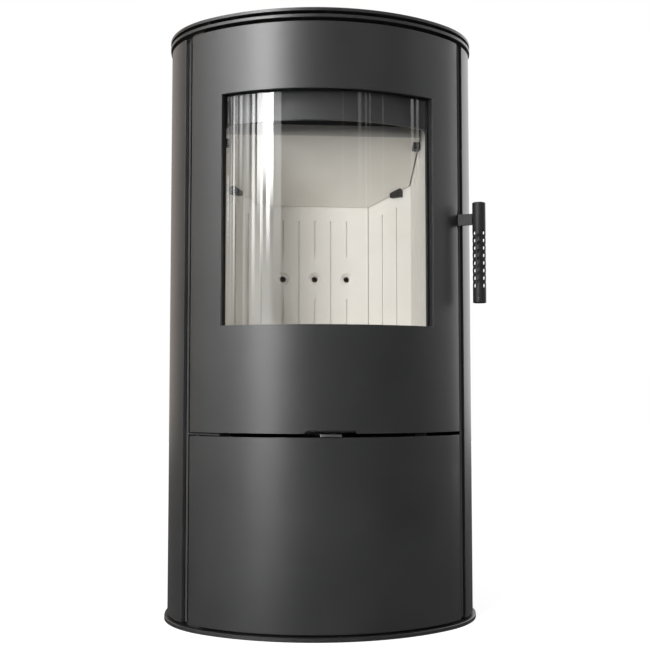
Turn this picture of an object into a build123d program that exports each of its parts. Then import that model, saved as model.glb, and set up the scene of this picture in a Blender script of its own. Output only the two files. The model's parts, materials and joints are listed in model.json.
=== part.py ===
from build123d import *
from math import asin, cos, degrees, pi, radians, sin, sqrt, tan
import os

# A freestanding oval wood stove. Millimetres, +Z up, the front looks along -Y.
# The origin is the middle of the underside of the base plate.

# plan of the body
BODY_HALF_WIDTH = 250.0      # half the width over the side shells
FRONT_RADIUS = 300.0         # the shallow arc across the front, and across the back
SIDE_RADIUS = 164.0          # the tighter arc round each side
SIDE_STRAIGHT = 16.0         # straight length of the sides between front and back arcs

# heights, from the floor up
BASE_T = 6.0
BASE_GAP = 3.5               # shadow gap between the base plate and the body
LOWER_DOOR_H = 287.5
DOOR_SLOT = 5.5              # slot between the two doors
UPPER_DOOR_H = 624.5
NECK_GAP = 5.0               # shadow gap over the doors
TOP_T = 5.0                  # each of the two top plates
COVER_GAP = 5.0              # shadow gap between the top plates
BASE_OVERHANG = 5.0
TOP_OVERHANG = 2.5

# sheet and plate
SHELL_T = 2.0
PANEL_T = 2.0
PLATE_T = 3.0
UPRIGHT_T = 3.0
FRONT_T = 4.0                # curved front plate of the firebox
FIREBOX_T = 3.0
FIT = 0.3                    # clearance between pieces that pass or seat
SLIP = 0.05                  # radial clearance of a turning pin

# doors
DOOR_ANGLE = 50.2            # the doors end at this angle of the outline, each side
SKIN_T = 4.0
PAN_T = 2.0                  # folded pan behind each door skin
UPPER_PAN_DEPTH = 20.0       # how far the pan reaches in from the outline
LOWER_PAN_DEPTH = 18.0
PAN_MARGIN = 7.2             # the pan stops this many degrees short of the skin, each side
PAN_EDGE = 5.5               # the pan stops this far short of the skin, top and bottom
WINDOW_HALF = 164.5          # half the window's width across the front
WINDOW_BOTTOM = 465.5
WINDOW_TOP = 823.5
GASKET_T = 5.0
GASKET_FIT = 0.1
GLASS_T = 4.0
GLASS_LAP = 10.0             # the glass reaches this far past the window's edge
ROPE_W = 9.0                 # sealing rope round the back of the door

# hinges
HINGE_ANGLE = -47.0
HINGE_INSET = 11.0
PIN_R = 4.0
HINGE_PLATE_T = 3.0
BLOCK_R = 6.7
BLOCK_H = 24.0
BLOCK_WEB = 5.0
BLOCK_GAP = 0.7
PIN_ENGAGE = 20.0
MIDDLE_BRACKET_ANGLE = 34.0

# latch and handle
LATCH_Z = 639.0              # middle of the arm
ARM_H = 18.0
ARM_T = 4.0
ARM_L = 50.0
LATCH_ANGLE = 50.0           # the latch turns on a pin at this angle of the outline
LATCH_INSET = 16.0
LATCH_TURN = -29.7           # the arm's direction from the pivot, in plan
LATCH_PIN_R = 3.0
LATCH_BOSS_R = 6.0
HOOK_REACH = 19.5            # the hook reaches this far behind the pivot
HOOK_IN = 2.2                # the hook's inner face lies this far past the pivot
HOOK_T = 3.3
HOOK_GAP = 0.6
STRIKER_W = 4.6
STRIKER_PAST = 8.0
LUG_T = 4.0
LUG_PAST = 1.5
ARM_FIT = 0.1
RELIEF_R = 52.0              # shallow relief in the edge of the skin beside the arm
RELIEF_DEPTH = 2.8
HANDLE_R = 10.5
HANDLE_WALL = 1.5
HANDLE_L = 160.0
HANDLE_BOTTOM = 505.0
HANDLE_CHAMFER = 1.0
HOLE_R = 3.0
HOLE_PITCH = 12.0            # rows of holes, and a second set half way between
HOLE_ROWS = 8
HOLE_FIRST_Z = 532.5
HOLE_TURN = 30.0             # the first set of holes is turned by this from the front

# air control
NOTCH_HALF = 39.0
NOTCH_H = 4.6
NOTCH_SLOPE = 2.4
LEVER_HALF = 16.0
LEVER_H = 4.6
LEVER_ARM_W = 24.0
LEVER_NECK = 22.0            # the lever narrows to its arm over this length behind the front
LEVER_CUT = 1.5
LEVER_PROUD = 5.0
LEVER_T = 2.5
AIR_TRAVEL = 20.0
SLIDE_T = 2.0
SLIDE_HALF = 90.0
SLIDE_W = 56.0
SLIDE_BACK = 94.6            # the middle of the slide lies this far behind the front
PORT_L = 22.0
PORT_W = 30.0
PORT_PITCH = 50.0

# firebox and its lining
LINING_T = 25.0
LINING_BACK_Y = 138.0
LINING_SIDE_X = BODY_HALF_WIDTH - 84.0
LINING_BACK_HALF = LINING_SIDE_X - 68.0
LINING_CORNER_Y = 80.0       # where the angled rear panel meets the side panel
LINING_FRONT_Y = -68.0
LINING_GAP = 1.0             # between the lining and the steel
FIREBOX_Z = 318.0
HEARTH_PLATE_Z = 424.0
FIREBOX_TOP = 896.0
HEARTH_T = 25.0
OPENING_HALF = LINING_SIDE_X - 12.0
OPENING_TOP = 782.0
OPENING_CORNER_R = 8.0
ASH_HALF = LINING_SIDE_X - 41.0
ASH_TOP = 408.0
GROOVE_W = 3.0
GROOVE_DEPTH = 3.0
GROOVE_PITCH = 29.0
GROOVE_BREAK_LOW = 532.0
GROOVE_BREAK_TOP = 608.5
AIR_HOLE_Z = 568.7
AIR_HOLE_R = 5.6
AIR_CONE_R = 12.0
SIDE_LINING_TOP = 838.0
REAR_LINING_TOP = 785.0
BACK_LINING_TOP = 738.0
BAFFLE_T = 25.0
BAFFLE_SLOPE = 27.3          # degrees, higher at the front
BAFFLE_BACK_Z = 699.0
BAFFLE_FRONT_Y = -35.0
BAFFLE_GAP = 2.6
GRATE_X = 190.0
GRATE_Y = 150.0
GRATE_T = 14.0
GRATE_SLOTS = 9
GRATE_SLOT_W = 9.0
GRATE_CENTRE_Y = 15.0
LEDGE = 10.0

# flue and combustion air
FLUE_Y = 72.0
FLUE_R = 74.5
FLUE_WALL = 3.0
FLUE_RISE = 40.0             # the collar stands this far above the top cover
FLUE_FLANGE_R = 94.0
FLUE_FLANGE_T = 5.0
FLUE_CLEAR = 4.0
AIR_PIPE_R = 40.0
AIR_PIPE_WALL = 2.0
AIR_PIPE_Z = 368.0
AIR_PIPE_STANDS = 24.0       # how far it stands out behind the back panel

# outer shells
SHELL_ANGLE = 56.6
SHELL_LIP = 6.0
SHELL_REAR_ANGLE = 150.0
UPRIGHT_GAP = 1.6            # between the door's edge and the upright's inner face
UPRIGHT_BACK = 6.5           # the upright's front edge lies this far behind the door's edge
UPRIGHT_BACK_Y = 60.0
CARRIER_FRONT_Y = -84.0      # floor plate and top frame end here, behind the shells' lips
FLANGE_ANGLE = 65.0          # the shells' folded flanges start here
FLANGE_W = 14.0

# small pieces
VENT_L = 70.0
VENT_W = 6.0
VENT_GAP = 14.0
VENT_PITCH = 14.0
VENT_COLUMNS = 3
VENT_ROWS = 4
VENT_LOW_Z = 110.0
VENT_TOP_Z = 620.0
BLANK_R = 85.0
BLANK_Z = 800.0
NECK_INSET = 9.0
SPACER_INSET = 24.0
SPACER_R = 8.0
SPACER_ANGLES = (-140, -90, -45, 0, 45, 90, 140)
COLLAR_BOLT_R = 5.0
CHANNEL_W = 150.0
CHANNEL_D = 16.0
GROOVE_DROP = 25.0           # the grooves stop this far under the baffle
SIDE_GROOVES = 4
BRACKET_AT = 0.7             # share of the angled panel's length, from the back
BRACKET_W = 22.0
BRACKET_REACH = 9.0
BRACKET_DROP = 8.0
REST_W = 12.0
REST_L = 16.0
REST_Y = -18.0
RETAINER_ANGLE = 30.0
RETAINER_INSET = 44.0
RETAINER_H = 15.0
PAN_HALF = ASH_HALF - 7.0
PAN_LENGTH = 220.0
PAN_BACK = 82.6              # the ash pan starts this far behind the front
PAN_H = 68.0
PAN_GRIP_W = 70.0
PAN_GRIP_H = 24.0
PAN_GRIP_OUT = 16.0
SHELF_Z = 288.0
FEET_X = LINING_SIDE_X - 6.0
FEET_Y = 5.0
FEET_PITCH_Y = 90.0
FEET_W = 20.0
ANGLE_W = 15.0
SHELF_ANGLE_Y = 30.0
SHELF_ANGLE_L = 90.0
AIR_BOX_HALF = 115.0
AIR_BOX_W = 66.0
RAIL_IN = 60.0
RAIL_W = 6.0
RAIL_T = 1.2
CLIP_ANGLES = (-22.0, 0.0, 22.0)
CLIP_HALF_ANGLE = 2.0
CLIP_H = 18.0
CLIP_OUT = 11.0
STUD_R = 2.5
CATCH_Z = 140.0
CATCH_H = 30.0
CATCH_TURN = 6.0
CATCH_DEPTH = 8.0
FRONT_PLATE_Z = 306.0
FRONT_PLATE_ANGLE = 71.4

# worked-out levels
BODY_Z = BASE_T + BASE_GAP
LOWER_TOP = BODY_Z + LOWER_DOOR_H
UPPER_Z = LOWER_TOP + DOOR_SLOT
UPPER_TOP = UPPER_Z + UPPER_DOOR_H
PLATE_Z = UPPER_TOP + NECK_GAP
COVER_Z = PLATE_Z + TOP_T + COVER_GAP
COVER_TOP = COVER_Z + TOP_T
FLOOR_Z = BODY_Z + PLATE_T
FRAME_Z = UPPER_TOP - 2 * PLATE_T
HEARTH_Z = HEARTH_PLATE_Z + FIREBOX_T + HEARTH_T
FRONT_INSET = UPPER_PAN_DEPTH + ROPE_W + 1.0
BREAK = degrees(asin((BODY_HALF_WIDTH - SIDE_RADIUS) / (FRONT_RADIUS - SIDE_RADIUS)))
SIDE_CX = BODY_HALF_WIDTH - SIDE_RADIUS
FRONT_CY = (FRONT_RADIUS - SIDE_RADIUS) * cos(radians(BREAK))
WINDOW_ANGLE = degrees(asin(WINDOW_HALF / FRONT_RADIUS))
REAR_Y = SIDE_STRAIGHT - FRONT_CY + FRONT_RADIUS
FRONT_Y = FRONT_CY - FRONT_RADIUS
SLIDE_Y = FRONT_Y + SLIDE_BACK
PAN_FRONT_Y = FRONT_Y + PAN_BACK


def on_outline(angle, inset=0.0, behind=False):
    """The point of the body's outline that faces angle degrees from the front, moved inwards."""
    a = radians(abs(angle))
    side = 1 if angle >= 0 else -1
    rear = abs(angle) > 90 or behind
    if abs(angle) <= BREAK or abs(angle) >= 180 - BREAK:
        x = (FRONT_RADIUS - inset) * sin(a)
        middle = SIDE_STRAIGHT - FRONT_CY if rear else FRONT_CY
        return (side * x, middle - (FRONT_RADIUS - inset) * cos(a))
    x = SIDE_CX + (SIDE_RADIUS - inset) * sin(a)
    return (side * x, (SIDE_STRAIGHT if rear else 0.0) - (SIDE_RADIUS - inset) * cos(a))


def draw_outline(start, end, inset=0.0):
    """Arcs and straights of the outline from one facing angle round to another."""
    breaks = [-180 + BREAK, -90, -BREAK, BREAK, 90, 180 - BREAK]
    stops = [start] + [b for b in breaks if start < b < end] + [end]
    for a, b in zip(stops[:-1], stops[1:]):
        first = on_outline(a, inset, behind=(a == 90))
        last = on_outline(b, inset, behind=(b == -90))
        ThreePointArc(first, on_outline((a + b) / 2, inset), last)
        if b in (-90, 90) and b != end:
            Line(last, on_outline(b, inset, behind=(b == 90)))


def oval(inset=0.0, mode=Mode.ADD):
    """The whole outline, as a face."""
    with BuildLine() as line:
        draw_outline(-180, 180, inset)
    make_face(line.edges(), mode=mode)


def strip(start, end, outer, inner, mode=Mode.ADD):
    """A curved band of the outline between two angles and two insets, as a face."""
    with BuildLine() as line:
        draw_outline(start, end, outer)
        draw_outline(start, end, inner)
        Line(on_outline(start, outer), on_outline(start, inner))
        Line(on_outline(end, outer), on_outline(end, inner))
    make_face(line.edges(), mode=mode)


def rear_strip(outer, inner):
    """The band across the back between the two side shells, as a face."""
    edge = SHELL_REAR_ANGLE + 0.1
    with BuildLine() as line:
        for inset in (outer, inner):
            ThreePointArc(on_outline(edge, inset), on_outline(180, inset), on_outline(-edge, inset))
        Line(on_outline(edge, outer), on_outline(edge, inner))
        Line(on_outline(-edge, outer), on_outline(-edge, inner))
    make_face(line.edges())


def carrier(side_inset, front_inset):
    """The outline set back behind the doors and close to the shells elsewhere, as a face."""
    oval(front_inset)
    with BuildSketch(mode=Mode.PRIVATE) as wide:
        oval(side_inset)
        with Locations((0, CARRIER_FRONT_Y)):
            Rectangle(4 * BODY_HALF_WIDTH, 4 * BODY_HALF_WIDTH, align=(Align.CENTER, Align.MIN),
                      mode=Mode.INTERSECT)
    add(wide.sketch)


def lining_points(grow, front_y):
    """Corners of the firebox's plan, right half from the back, grown outwards."""
    run_x = LINING_SIDE_X - LINING_BACK_HALF
    run_y = LINING_BACK_Y - LINING_CORNER_Y
    length = sqrt(run_x ** 2 + run_y ** 2)
    nx, ny = run_y / length, run_x / length
    back_x = LINING_BACK_HALF + grow * (1 - ny) / nx
    corner_y = LINING_CORNER_Y + grow * (1 - nx) / ny
    return [(back_x, LINING_BACK_Y + grow), (LINING_SIDE_X + grow, corner_y),
            (LINING_SIDE_X + grow, front_y)]


def firebox_plan(grow, front_y):
    """The firebox's plan as a face: flat back, two angled rear panels, two sides."""
    right = lining_points(grow, front_y)
    left = [(-x, y) for x, y in reversed(right)]
    with BuildLine() as line:
        Polyline(*right, *left, close=True)
    make_face(line.edges())


def angled_groove_x(k):
    """Distance along the angled rear panel of its groove number k."""
    return k * (GROOVE_PITCH + 1.2)


def save(piece, label):
    """Give the finished piece its label and write it."""
    piece.part.label = label
    export_step(piece.part, f"parts/{label}.step")


os.makedirs("parts", exist_ok=True)
HINGE = on_outline(HINGE_ANGLE, HINGE_INSET)
LATCH = on_outline(LATCH_ANGLE, LATCH_INSET)
UPRIGHT_X = on_outline(DOOR_ANGLE)[0] + UPRIGHT_GAP
UPRIGHT_FRONT_Y = on_outline(DOOR_ANGLE)[1] + UPRIGHT_BACK

# base and frame
with BuildPart() as base_plate:
    with BuildSketch(Plane.XY):
        oval(-BASE_OVERHANG)
    extrude(amount=BASE_T)
    chamfer(base_plate.edges().group_by(Axis.Z)[-1], 0.6)
save(base_plate, "base_plate")

with BuildPart() as plinth_ring:
    with BuildSketch(Plane.XY.offset(BASE_T)):
        carrier(12.0, FRONT_INSET + 12.0)
        oval(FRONT_INSET + 40.0, mode=Mode.SUBTRACT)
    extrude(amount=BASE_GAP)
save(plinth_ring, "plinth_ring")

with BuildPart() as floor_plate:
    with BuildSketch(Plane.XY.offset(BODY_Z)):
        carrier(SHELL_T + FIT, FRONT_INSET - 6.0)
    extrude(amount=PLATE_T)
save(floor_plate, "floor_plate")

for label, side in (("left_upright", -1), ("right_upright", 1)):
    with BuildPart() as upright:
        with BuildSketch(Plane.XY.offset(FLOOR_Z)):
            with Locations((side * (UPRIGHT_X + UPRIGHT_T / 2), UPRIGHT_FRONT_Y)):
                Rectangle(UPRIGHT_T, UPRIGHT_BACK_Y - UPRIGHT_FRONT_Y,
                          align=(Align.CENTER, Align.MIN))
        extrude(amount=FRAME_Z - FLOOR_Z)
    save(upright, label)

# outer shells
for label, side in (("left_shell", -1), ("right_shell", 1)):
    with BuildPart() as shell:
        with BuildSketch(Plane.XY.offset(BODY_Z)):
            strip(SHELL_ANGLE, SHELL_REAR_ANGLE, 0, SHELL_T)
            strip(SHELL_ANGLE, SHELL_ANGLE + 0.7, 0, SHELL_LIP)
        extrude(amount=UPPER_TOP - BODY_Z)
        for level in (FLOOR_Z, FRAME_Z - SHELL_T):
            with BuildSketch(Plane.XY.offset(level)):
                strip(FLANGE_ANGLE, SHELL_REAR_ANGLE, 0, FLANGE_W)
            extrude(amount=SHELL_T)
        if side < 0:
            mirror(about=Plane.YZ, mode=Mode.REPLACE)
    save(shell, label)

with BuildPart() as back_panel:
    with BuildSketch(Plane.XY.offset(BODY_Z)):
        rear_strip(0, PANEL_T)
    extrude(amount=UPPER_TOP - BODY_Z)
    for level in (FLOOR_Z, FRAME_Z - PANEL_T):
        with BuildSketch(Plane.XY.offset(level)):
            rear_strip(0, FLANGE_W)
        extrude(amount=PANEL_T)
    with BuildSketch(Plane.XZ.offset(-SIDE_STRAIGHT)):
        with Locations((0, AIR_PIPE_Z)):
            Circle(AIR_PIPE_R + FLUE_CLEAR)
        with Locations((0, VENT_LOW_Z), (0, VENT_TOP_Z)):
            with GridLocations(VENT_L + VENT_GAP, VENT_PITCH, VENT_COLUMNS, VENT_ROWS):
                SlotOverall(VENT_L, VENT_W)
    extrude(amount=-BODY_HALF_WIDTH, mode=Mode.SUBTRACT)
save(back_panel, "back_panel")

with BuildPart() as rear_flue_cover:
    with BuildSketch(Plane.XY.offset(BLANK_Z - BLANK_R)):
        rear_strip(-PANEL_T - FIT, -FIT)
    extrude(amount=2 * BLANK_R)
    with BuildSketch(Plane.XZ.offset(-SIDE_STRAIGHT)):
        with Locations((0, BLANK_Z)):
            Circle(BLANK_R)
    extrude(amount=-BODY_HALF_WIDTH, mode=Mode.INTERSECT)
save(rear_flue_cover, "rear_flue_cover")

# Top of the body
with BuildPart() as top_frame:
    with BuildSketch(Plane.XY.offset(FRAME_Z)):
        carrier(SHELL_T + FIT, FRONT_INSET)
        with Locations((0, FLUE_Y)):
            Circle(FLUE_FLANGE_R + FLUE_CLEAR, mode=Mode.SUBTRACT)
    extrude(amount=PLATE_T)
save(top_frame, "top_frame")

with BuildPart() as neck_ring:
    with BuildSketch(Plane.XY.offset(FRAME_Z + PLATE_T)):
        carrier(NECK_INSET, FRONT_INSET)
        oval(FRONT_INSET + NECK_INSET, mode=Mode.SUBTRACT)
    extrude(amount=PLATE_Z - FRAME_Z - PLATE_T)
save(neck_ring, "neck_ring")

for label, level in (("top_plate", PLATE_Z), ("top_cover", COVER_Z)):
    with BuildPart() as plate:
        with BuildSketch(Plane.XY.offset(level)):
            oval(-TOP_OVERHANG)
            with Locations((0, FLUE_Y)):
                Circle(FLUE_R + FLUE_CLEAR, mode=Mode.SUBTRACT)
        extrude(amount=TOP_T)
        chamfer(plate.faces().sort_by(Axis.Z)[-1].outer_wire().edges(), 0.5)
    save(plate, label)

with BuildPart() as cover_spacers:
    with BuildSketch(Plane.XY.offset(PLATE_Z + TOP_T)):
        with Locations(*[on_outline(a, SPACER_INSET) for a in SPACER_ANGLES]):
            Circle(SPACER_R)
    extrude(amount=COVER_GAP)
save(cover_spacers, "cover_spacers")

with BuildPart() as flue_collar:
    with BuildSketch(Plane.XY.offset(FIREBOX_TOP)):
        with Locations((0, FLUE_Y)):
            Circle(FLUE_FLANGE_R)
            Circle(FLUE_R - FLUE_WALL, mode=Mode.SUBTRACT)
    extrude(amount=FLUE_FLANGE_T)
    with BuildSketch(Plane.XY.offset(FIREBOX_TOP)):
        with Locations((0, FLUE_Y)):
            Circle(FLUE_R)
            Circle(FLUE_R - FLUE_WALL, mode=Mode.SUBTRACT)
    extrude(amount=COVER_TOP + FLUE_RISE - FIREBOX_TOP)
save(flue_collar, "flue_collar")

with BuildPart() as collar_bolts:
    with BuildSketch(Plane.XY.offset(FIREBOX_TOP + FLUE_FLANGE_T)):
        with Locations((0, FLUE_Y)):
            with PolarLocations((FLUE_R + FLUE_FLANGE_R) / 2, 4, start_angle=45):
                RegularPolygon(COLLAR_BOLT_R, 6)
    extrude(amount=COLLAR_BOLT_R)
save(collar_bolts, "collar_bolts")

# Firebox
def steel_plan():
    """Plan of the welded steel boxes, up to the back of the front plate."""
    firebox_plan(LINING_T + LINING_GAP + FIREBOX_T, -2 * BODY_HALF_WIDTH)
    oval(FRONT_INSET + FRONT_T + FIT, mode=Mode.INTERSECT)


with BuildPart() as ash_compartment:
    with BuildSketch(Plane.XY.offset(FIREBOX_Z)):
        steel_plan()
    extrude(amount=HEARTH_PLATE_Z - FIREBOX_Z)
    with BuildSketch(Plane.XY.offset(FIREBOX_Z + FIREBOX_T)):
        firebox_plan(LINING_T + LINING_GAP, -2 * BODY_HALF_WIDTH)
    extrude(amount=HEARTH_PLATE_Z - FIREBOX_Z, mode=Mode.SUBTRACT)
    with BuildSketch(Plane.XZ.offset(-LINING_CORNER_Y)):
        with Locations((0, AIR_PIPE_Z)):
            Circle(AIR_PIPE_R - AIR_PIPE_WALL)
    extrude(amount=-BODY_HALF_WIDTH, mode=Mode.SUBTRACT)
save(ash_compartment, "ash_compartment")

with BuildPart() as firebox_body:
    with BuildSketch(Plane.XY.offset(HEARTH_PLATE_Z)):
        steel_plan()
    extrude(amount=FIREBOX_TOP - HEARTH_PLATE_Z)
    with BuildSketch(Plane.XY.offset(FIREBOX_TOP - FIREBOX_T)):
        firebox_plan(LINING_T + LINING_GAP + FIREBOX_T, -2 * BODY_HALF_WIDTH)
        oval(FRONT_INSET, mode=Mode.INTERSECT)
    extrude(amount=FIREBOX_T)
    with BuildSketch(Plane.XY.offset(HEARTH_PLATE_Z + FIREBOX_T)):
        firebox_plan(LINING_T + LINING_GAP, -2 * BODY_HALF_WIDTH)
    extrude(amount=FIREBOX_TOP - HEARTH_PLATE_Z - 2 * FIREBOX_T, mode=Mode.SUBTRACT)
    with BuildSketch(Plane.XY.offset(HEARTH_PLATE_Z)):
        with Locations((0, GRATE_CENTRE_Y)):
            Rectangle(GRATE_X - 2 * LEDGE, GRATE_Y - 2 * LEDGE)
    extrude(amount=FIREBOX_T, mode=Mode.SUBTRACT)
    with BuildSketch(Plane.XY.offset(FIREBOX_TOP - FIREBOX_T)):
        with Locations((0, FLUE_Y)):
            Circle(FLUE_R - FLUE_WALL)
    extrude(amount=FIREBOX_T, mode=Mode.SUBTRACT)
    with BuildSketch(Plane.XZ.offset(-LINING_CORNER_Y)):
        with Locations((0, AIR_HOLE_Z)):
            with GridLocations(2 * GROOVE_PITCH, 1, 3, 1):
                Circle(AIR_CONE_R)
    extrude(amount=-BODY_HALF_WIDTH, mode=Mode.SUBTRACT)
save(firebox_body, "firebox_body")

with BuildPart() as front_plate:
    with BuildSketch(Plane.XY.offset(FRONT_PLATE_Z)):
        strip(-FRONT_PLATE_ANGLE, FRONT_PLATE_ANGLE, FRONT_INSET, FRONT_INSET + FRONT_T)
    extrude(amount=FIREBOX_TOP - FIREBOX_T - FRONT_PLATE_Z)
    with BuildSketch(Plane.XZ.offset(BODY_HALF_WIDTH)):
        with Locations((0, (HEARTH_Z - LEDGE / 2 + OPENING_TOP) / 2)):
            RectangleRounded(2 * OPENING_HALF, OPENING_TOP - HEARTH_Z + LEDGE / 2,
                             OPENING_CORNER_R)
        with Locations((0, (FIREBOX_Z + FIREBOX_T + ASH_TOP) / 2)):
            RectangleRounded(2 * ASH_HALF, ASH_TOP - FIREBOX_Z - FIREBOX_T, OPENING_CORNER_R / 2)
    extrude(amount=-BODY_HALF_WIDTH, mode=Mode.SUBTRACT)
save(front_plate, "front_plate")

with BuildPart() as air_inlet_pipe:
    with BuildSketch(Plane.XZ.offset(-(LINING_BACK_Y + LINING_T + LINING_GAP + FIREBOX_T))):
        with Locations((0, AIR_PIPE_Z)):
            Circle(AIR_PIPE_R)
            Circle(AIR_PIPE_R - AIR_PIPE_WALL, mode=Mode.SUBTRACT)
    extrude(amount=-(REAR_Y + AIR_PIPE_STANDS - LINING_BACK_Y - LINING_T - LINING_GAP - FIREBOX_T))
save(air_inlet_pipe, "air_inlet_pipe")

with BuildPart() as afterburn_channel:
    channel_y = LINING_BACK_Y + LINING_T + LINING_GAP + FIREBOX_T
    with BuildSketch(Plane.XY.offset(AIR_PIPE_Z + AIR_PIPE_R + LEDGE)):
        with Locations((0, channel_y)):
            Rectangle(CHANNEL_W, CHANNEL_D, align=(Align.CENTER, Align.MIN))
    extrude(amount=AIR_HOLE_Z + 2 * LEDGE - AIR_PIPE_Z - AIR_PIPE_R)
    with BuildSketch(Plane.XY.offset(AIR_PIPE_Z + AIR_PIPE_R + LEDGE)):
        with Locations((0, channel_y)):
            Rectangle(CHANNEL_W - 2 * PANEL_T, CHANNEL_D - PANEL_T,
                      align=(Align.CENTER, Align.MIN))
    extrude(amount=AIR_HOLE_Z + 2 * LEDGE - AIR_PIPE_Z - AIR_PIPE_R - PANEL_T,
            mode=Mode.SUBTRACT)
save(afterburn_channel, "afterburn_channel")

# Fireproof lining
baffle_rise = tan(radians(BAFFLE_SLOPE))


def baffle_z(y):
    """Height of the baffle's underside over a point of the plan."""
    return BAFFLE_BACK_Z + baffle_rise * (LINING_BACK_Y - y)


with BuildPart() as back_lining:
    with BuildSketch(Plane.XY.offset(HEARTH_Z)):
        with BuildLine():
            face = [(-LINING_BACK_HALF, LINING_BACK_Y), (LINING_BACK_HALF, LINING_BACK_Y)]
            outer_x, outer_y = lining_points(LINING_T, 0)[0]
            Polyline(*face, (outer_x, outer_y), (-outer_x, outer_y), close=True)
        make_face()
    extrude(amount=BACK_LINING_TOP - HEARTH_Z)
    groove_top = BAFFLE_BACK_Z - GROOVE_DROP
    with BuildSketch(Plane.XZ.offset(-LINING_BACK_Y)):
        for k in (-1, 1):
            with Locations((k * GROOVE_PITCH, HEARTH_Z)):
                Rectangle(GROOVE_W, groove_top - HEARTH_Z, align=(Align.CENTER, Align.MIN))
        for k in (-2, 0, 2):
            with Locations((k * GROOVE_PITCH, HEARTH_Z)):
                Rectangle(GROOVE_W, GROOVE_BREAK_LOW - HEARTH_Z, align=(Align.CENTER, Align.MIN))
            with Locations((k * GROOVE_PITCH, GROOVE_BREAK_TOP)):
                Rectangle(GROOVE_W, groove_top - GROOVE_BREAK_TOP,
                          align=(Align.CENTER, Align.MIN))
    extrude(amount=-GROOVE_DEPTH, mode=Mode.SUBTRACT)
    with Locations(Plane((0, LINING_BACK_Y, AIR_HOLE_Z), x_dir=(1, 0, 0), z_dir=(0, -1, 0))):
        with GridLocations(2 * GROOVE_PITCH, 1, 3, 1):
            CounterSinkHole(AIR_HOLE_R, AIR_CONE_R, depth=LINING_T, counter_sink_angle=90)
save(back_lining, "back_lining")

panel_run = (LINING_SIDE_X - LINING_BACK_HALF, LINING_CORNER_Y - LINING_BACK_Y)
panel_length = sqrt(panel_run[0] ** 2 + panel_run[1] ** 2)
for label, side in (("rear_left_lining", -1), ("rear_right_lining", 1)):
    with BuildPart() as lining:
        near_back, near_side = lining_points(LINING_T, 0)[:2]
        with BuildSketch(Plane.XY.offset(HEARTH_Z)):
            with BuildLine():
                Polyline((LINING_BACK_HALF, LINING_BACK_Y), near_back, near_side,
                         (LINING_SIDE_X, LINING_CORNER_Y), close=True)
            make_face()
        extrude(amount=REAR_LINING_TOP - HEARTH_Z)
        for k in (1, 2):
            along = angled_groove_x(k) / panel_length
            foot = (LINING_BACK_HALF + along * panel_run[0], LINING_BACK_Y + along * panel_run[1])
            top = baffle_z(foot[1]) - GROOVE_DROP
            with BuildSketch(Plane((foot[0], foot[1], HEARTH_Z), x_dir=(*panel_run, 0),
                                   z_dir=(0, 0, 1))):
                Rectangle(GROOVE_W, 2 * GROOVE_DEPTH)
            extrude(amount=top - HEARTH_Z, mode=Mode.SUBTRACT)
        if side < 0:
            mirror(about=Plane.YZ, mode=Mode.REPLACE)
    save(lining, label)

for label, side in (("left_lining", -1), ("right_lining", 1)):
    with BuildPart() as lining:
        near_side = lining_points(LINING_T, 0)[1]
        with BuildSketch(Plane.XY.offset(HEARTH_Z)):
            with BuildLine():
                Polyline((LINING_SIDE_X, LINING_CORNER_Y), near_side,
                         (LINING_SIDE_X + LINING_T, LINING_FRONT_Y),
                         (LINING_SIDE_X, LINING_FRONT_Y), close=True)
            make_face()
            for k in range(1, SIDE_GROOVES + 1):
                with Locations((LINING_SIDE_X, LINING_CORNER_Y - k * GROOVE_PITCH)):
                    Rectangle(2 * GROOVE_DEPTH, GROOVE_W, mode=Mode.SUBTRACT)
        extrude(amount=SIDE_LINING_TOP - HEARTH_Z)
        if side < 0:
            mirror(about=Plane.YZ, mode=Mode.REPLACE)
    save(lining, label)

with BuildPart() as hearth_lining:
    with BuildSketch(Plane.XY.offset(HEARTH_PLATE_Z + FIREBOX_T)):
        firebox_plan(LINING_T, -2 * BODY_HALF_WIDTH)
        oval(FRONT_INSET + FRONT_T + 1.0, mode=Mode.INTERSECT)
        with Locations((0, GRATE_CENTRE_Y)):
            Rectangle(GRATE_X, GRATE_Y, mode=Mode.SUBTRACT)
    extrude(amount=HEARTH_T)
save(hearth_lining, "hearth_lining")

with BuildPart() as grate:
    with BuildSketch(Plane.XY.offset(HEARTH_PLATE_Z + FIREBOX_T)):
        with Locations((0, GRATE_CENTRE_Y)):
            RectangleRounded(GRATE_X - 2, GRATE_Y - 2, 6)
            with GridLocations(2 * GRATE_SLOT_W, 1, GRATE_SLOTS, 1):
                SlotOverall(GRATE_Y - 3 * LEDGE, GRATE_SLOT_W, rotation=90, mode=Mode.SUBTRACT)
    extrude(amount=GRATE_T)
save(grate, "grate")

with BuildPart() as baffle:
    slab_plane = Plane((0, LINING_BACK_Y, BAFFLE_BACK_Z), x_dir=(1, 0, 0),
                       z_dir=(0, sin(radians(BAFFLE_SLOPE)), cos(radians(BAFFLE_SLOPE))))
    slab_length = (LINING_BACK_Y - BAFFLE_FRONT_Y) / cos(radians(BAFFLE_SLOPE))
    with BuildSketch(slab_plane):
        with Locations((0, LEDGE)):
            Rectangle(2 * LINING_SIDE_X, slab_length + LEDGE, align=(Align.CENTER, Align.MAX))
    extrude(amount=BAFFLE_T)
    with BuildSketch(Plane.XY.offset(HEARTH_Z)):
        firebox_plan(-BAFFLE_GAP, -BODY_HALF_WIDTH)
    extrude(amount=FIREBOX_TOP - HEARTH_Z, mode=Mode.INTERSECT)
save(baffle, "baffle")



def cut_under_baffle():
    """Takes away what stands above the plane of the baffle's underside."""
    with BuildSketch(slab_plane) as above:
        Rectangle(4 * BODY_HALF_WIDTH, 4 * BODY_HALF_WIDTH)
    extrude(above.sketch, amount=4 * BAFFLE_T, mode=Mode.SUBTRACT)


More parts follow.
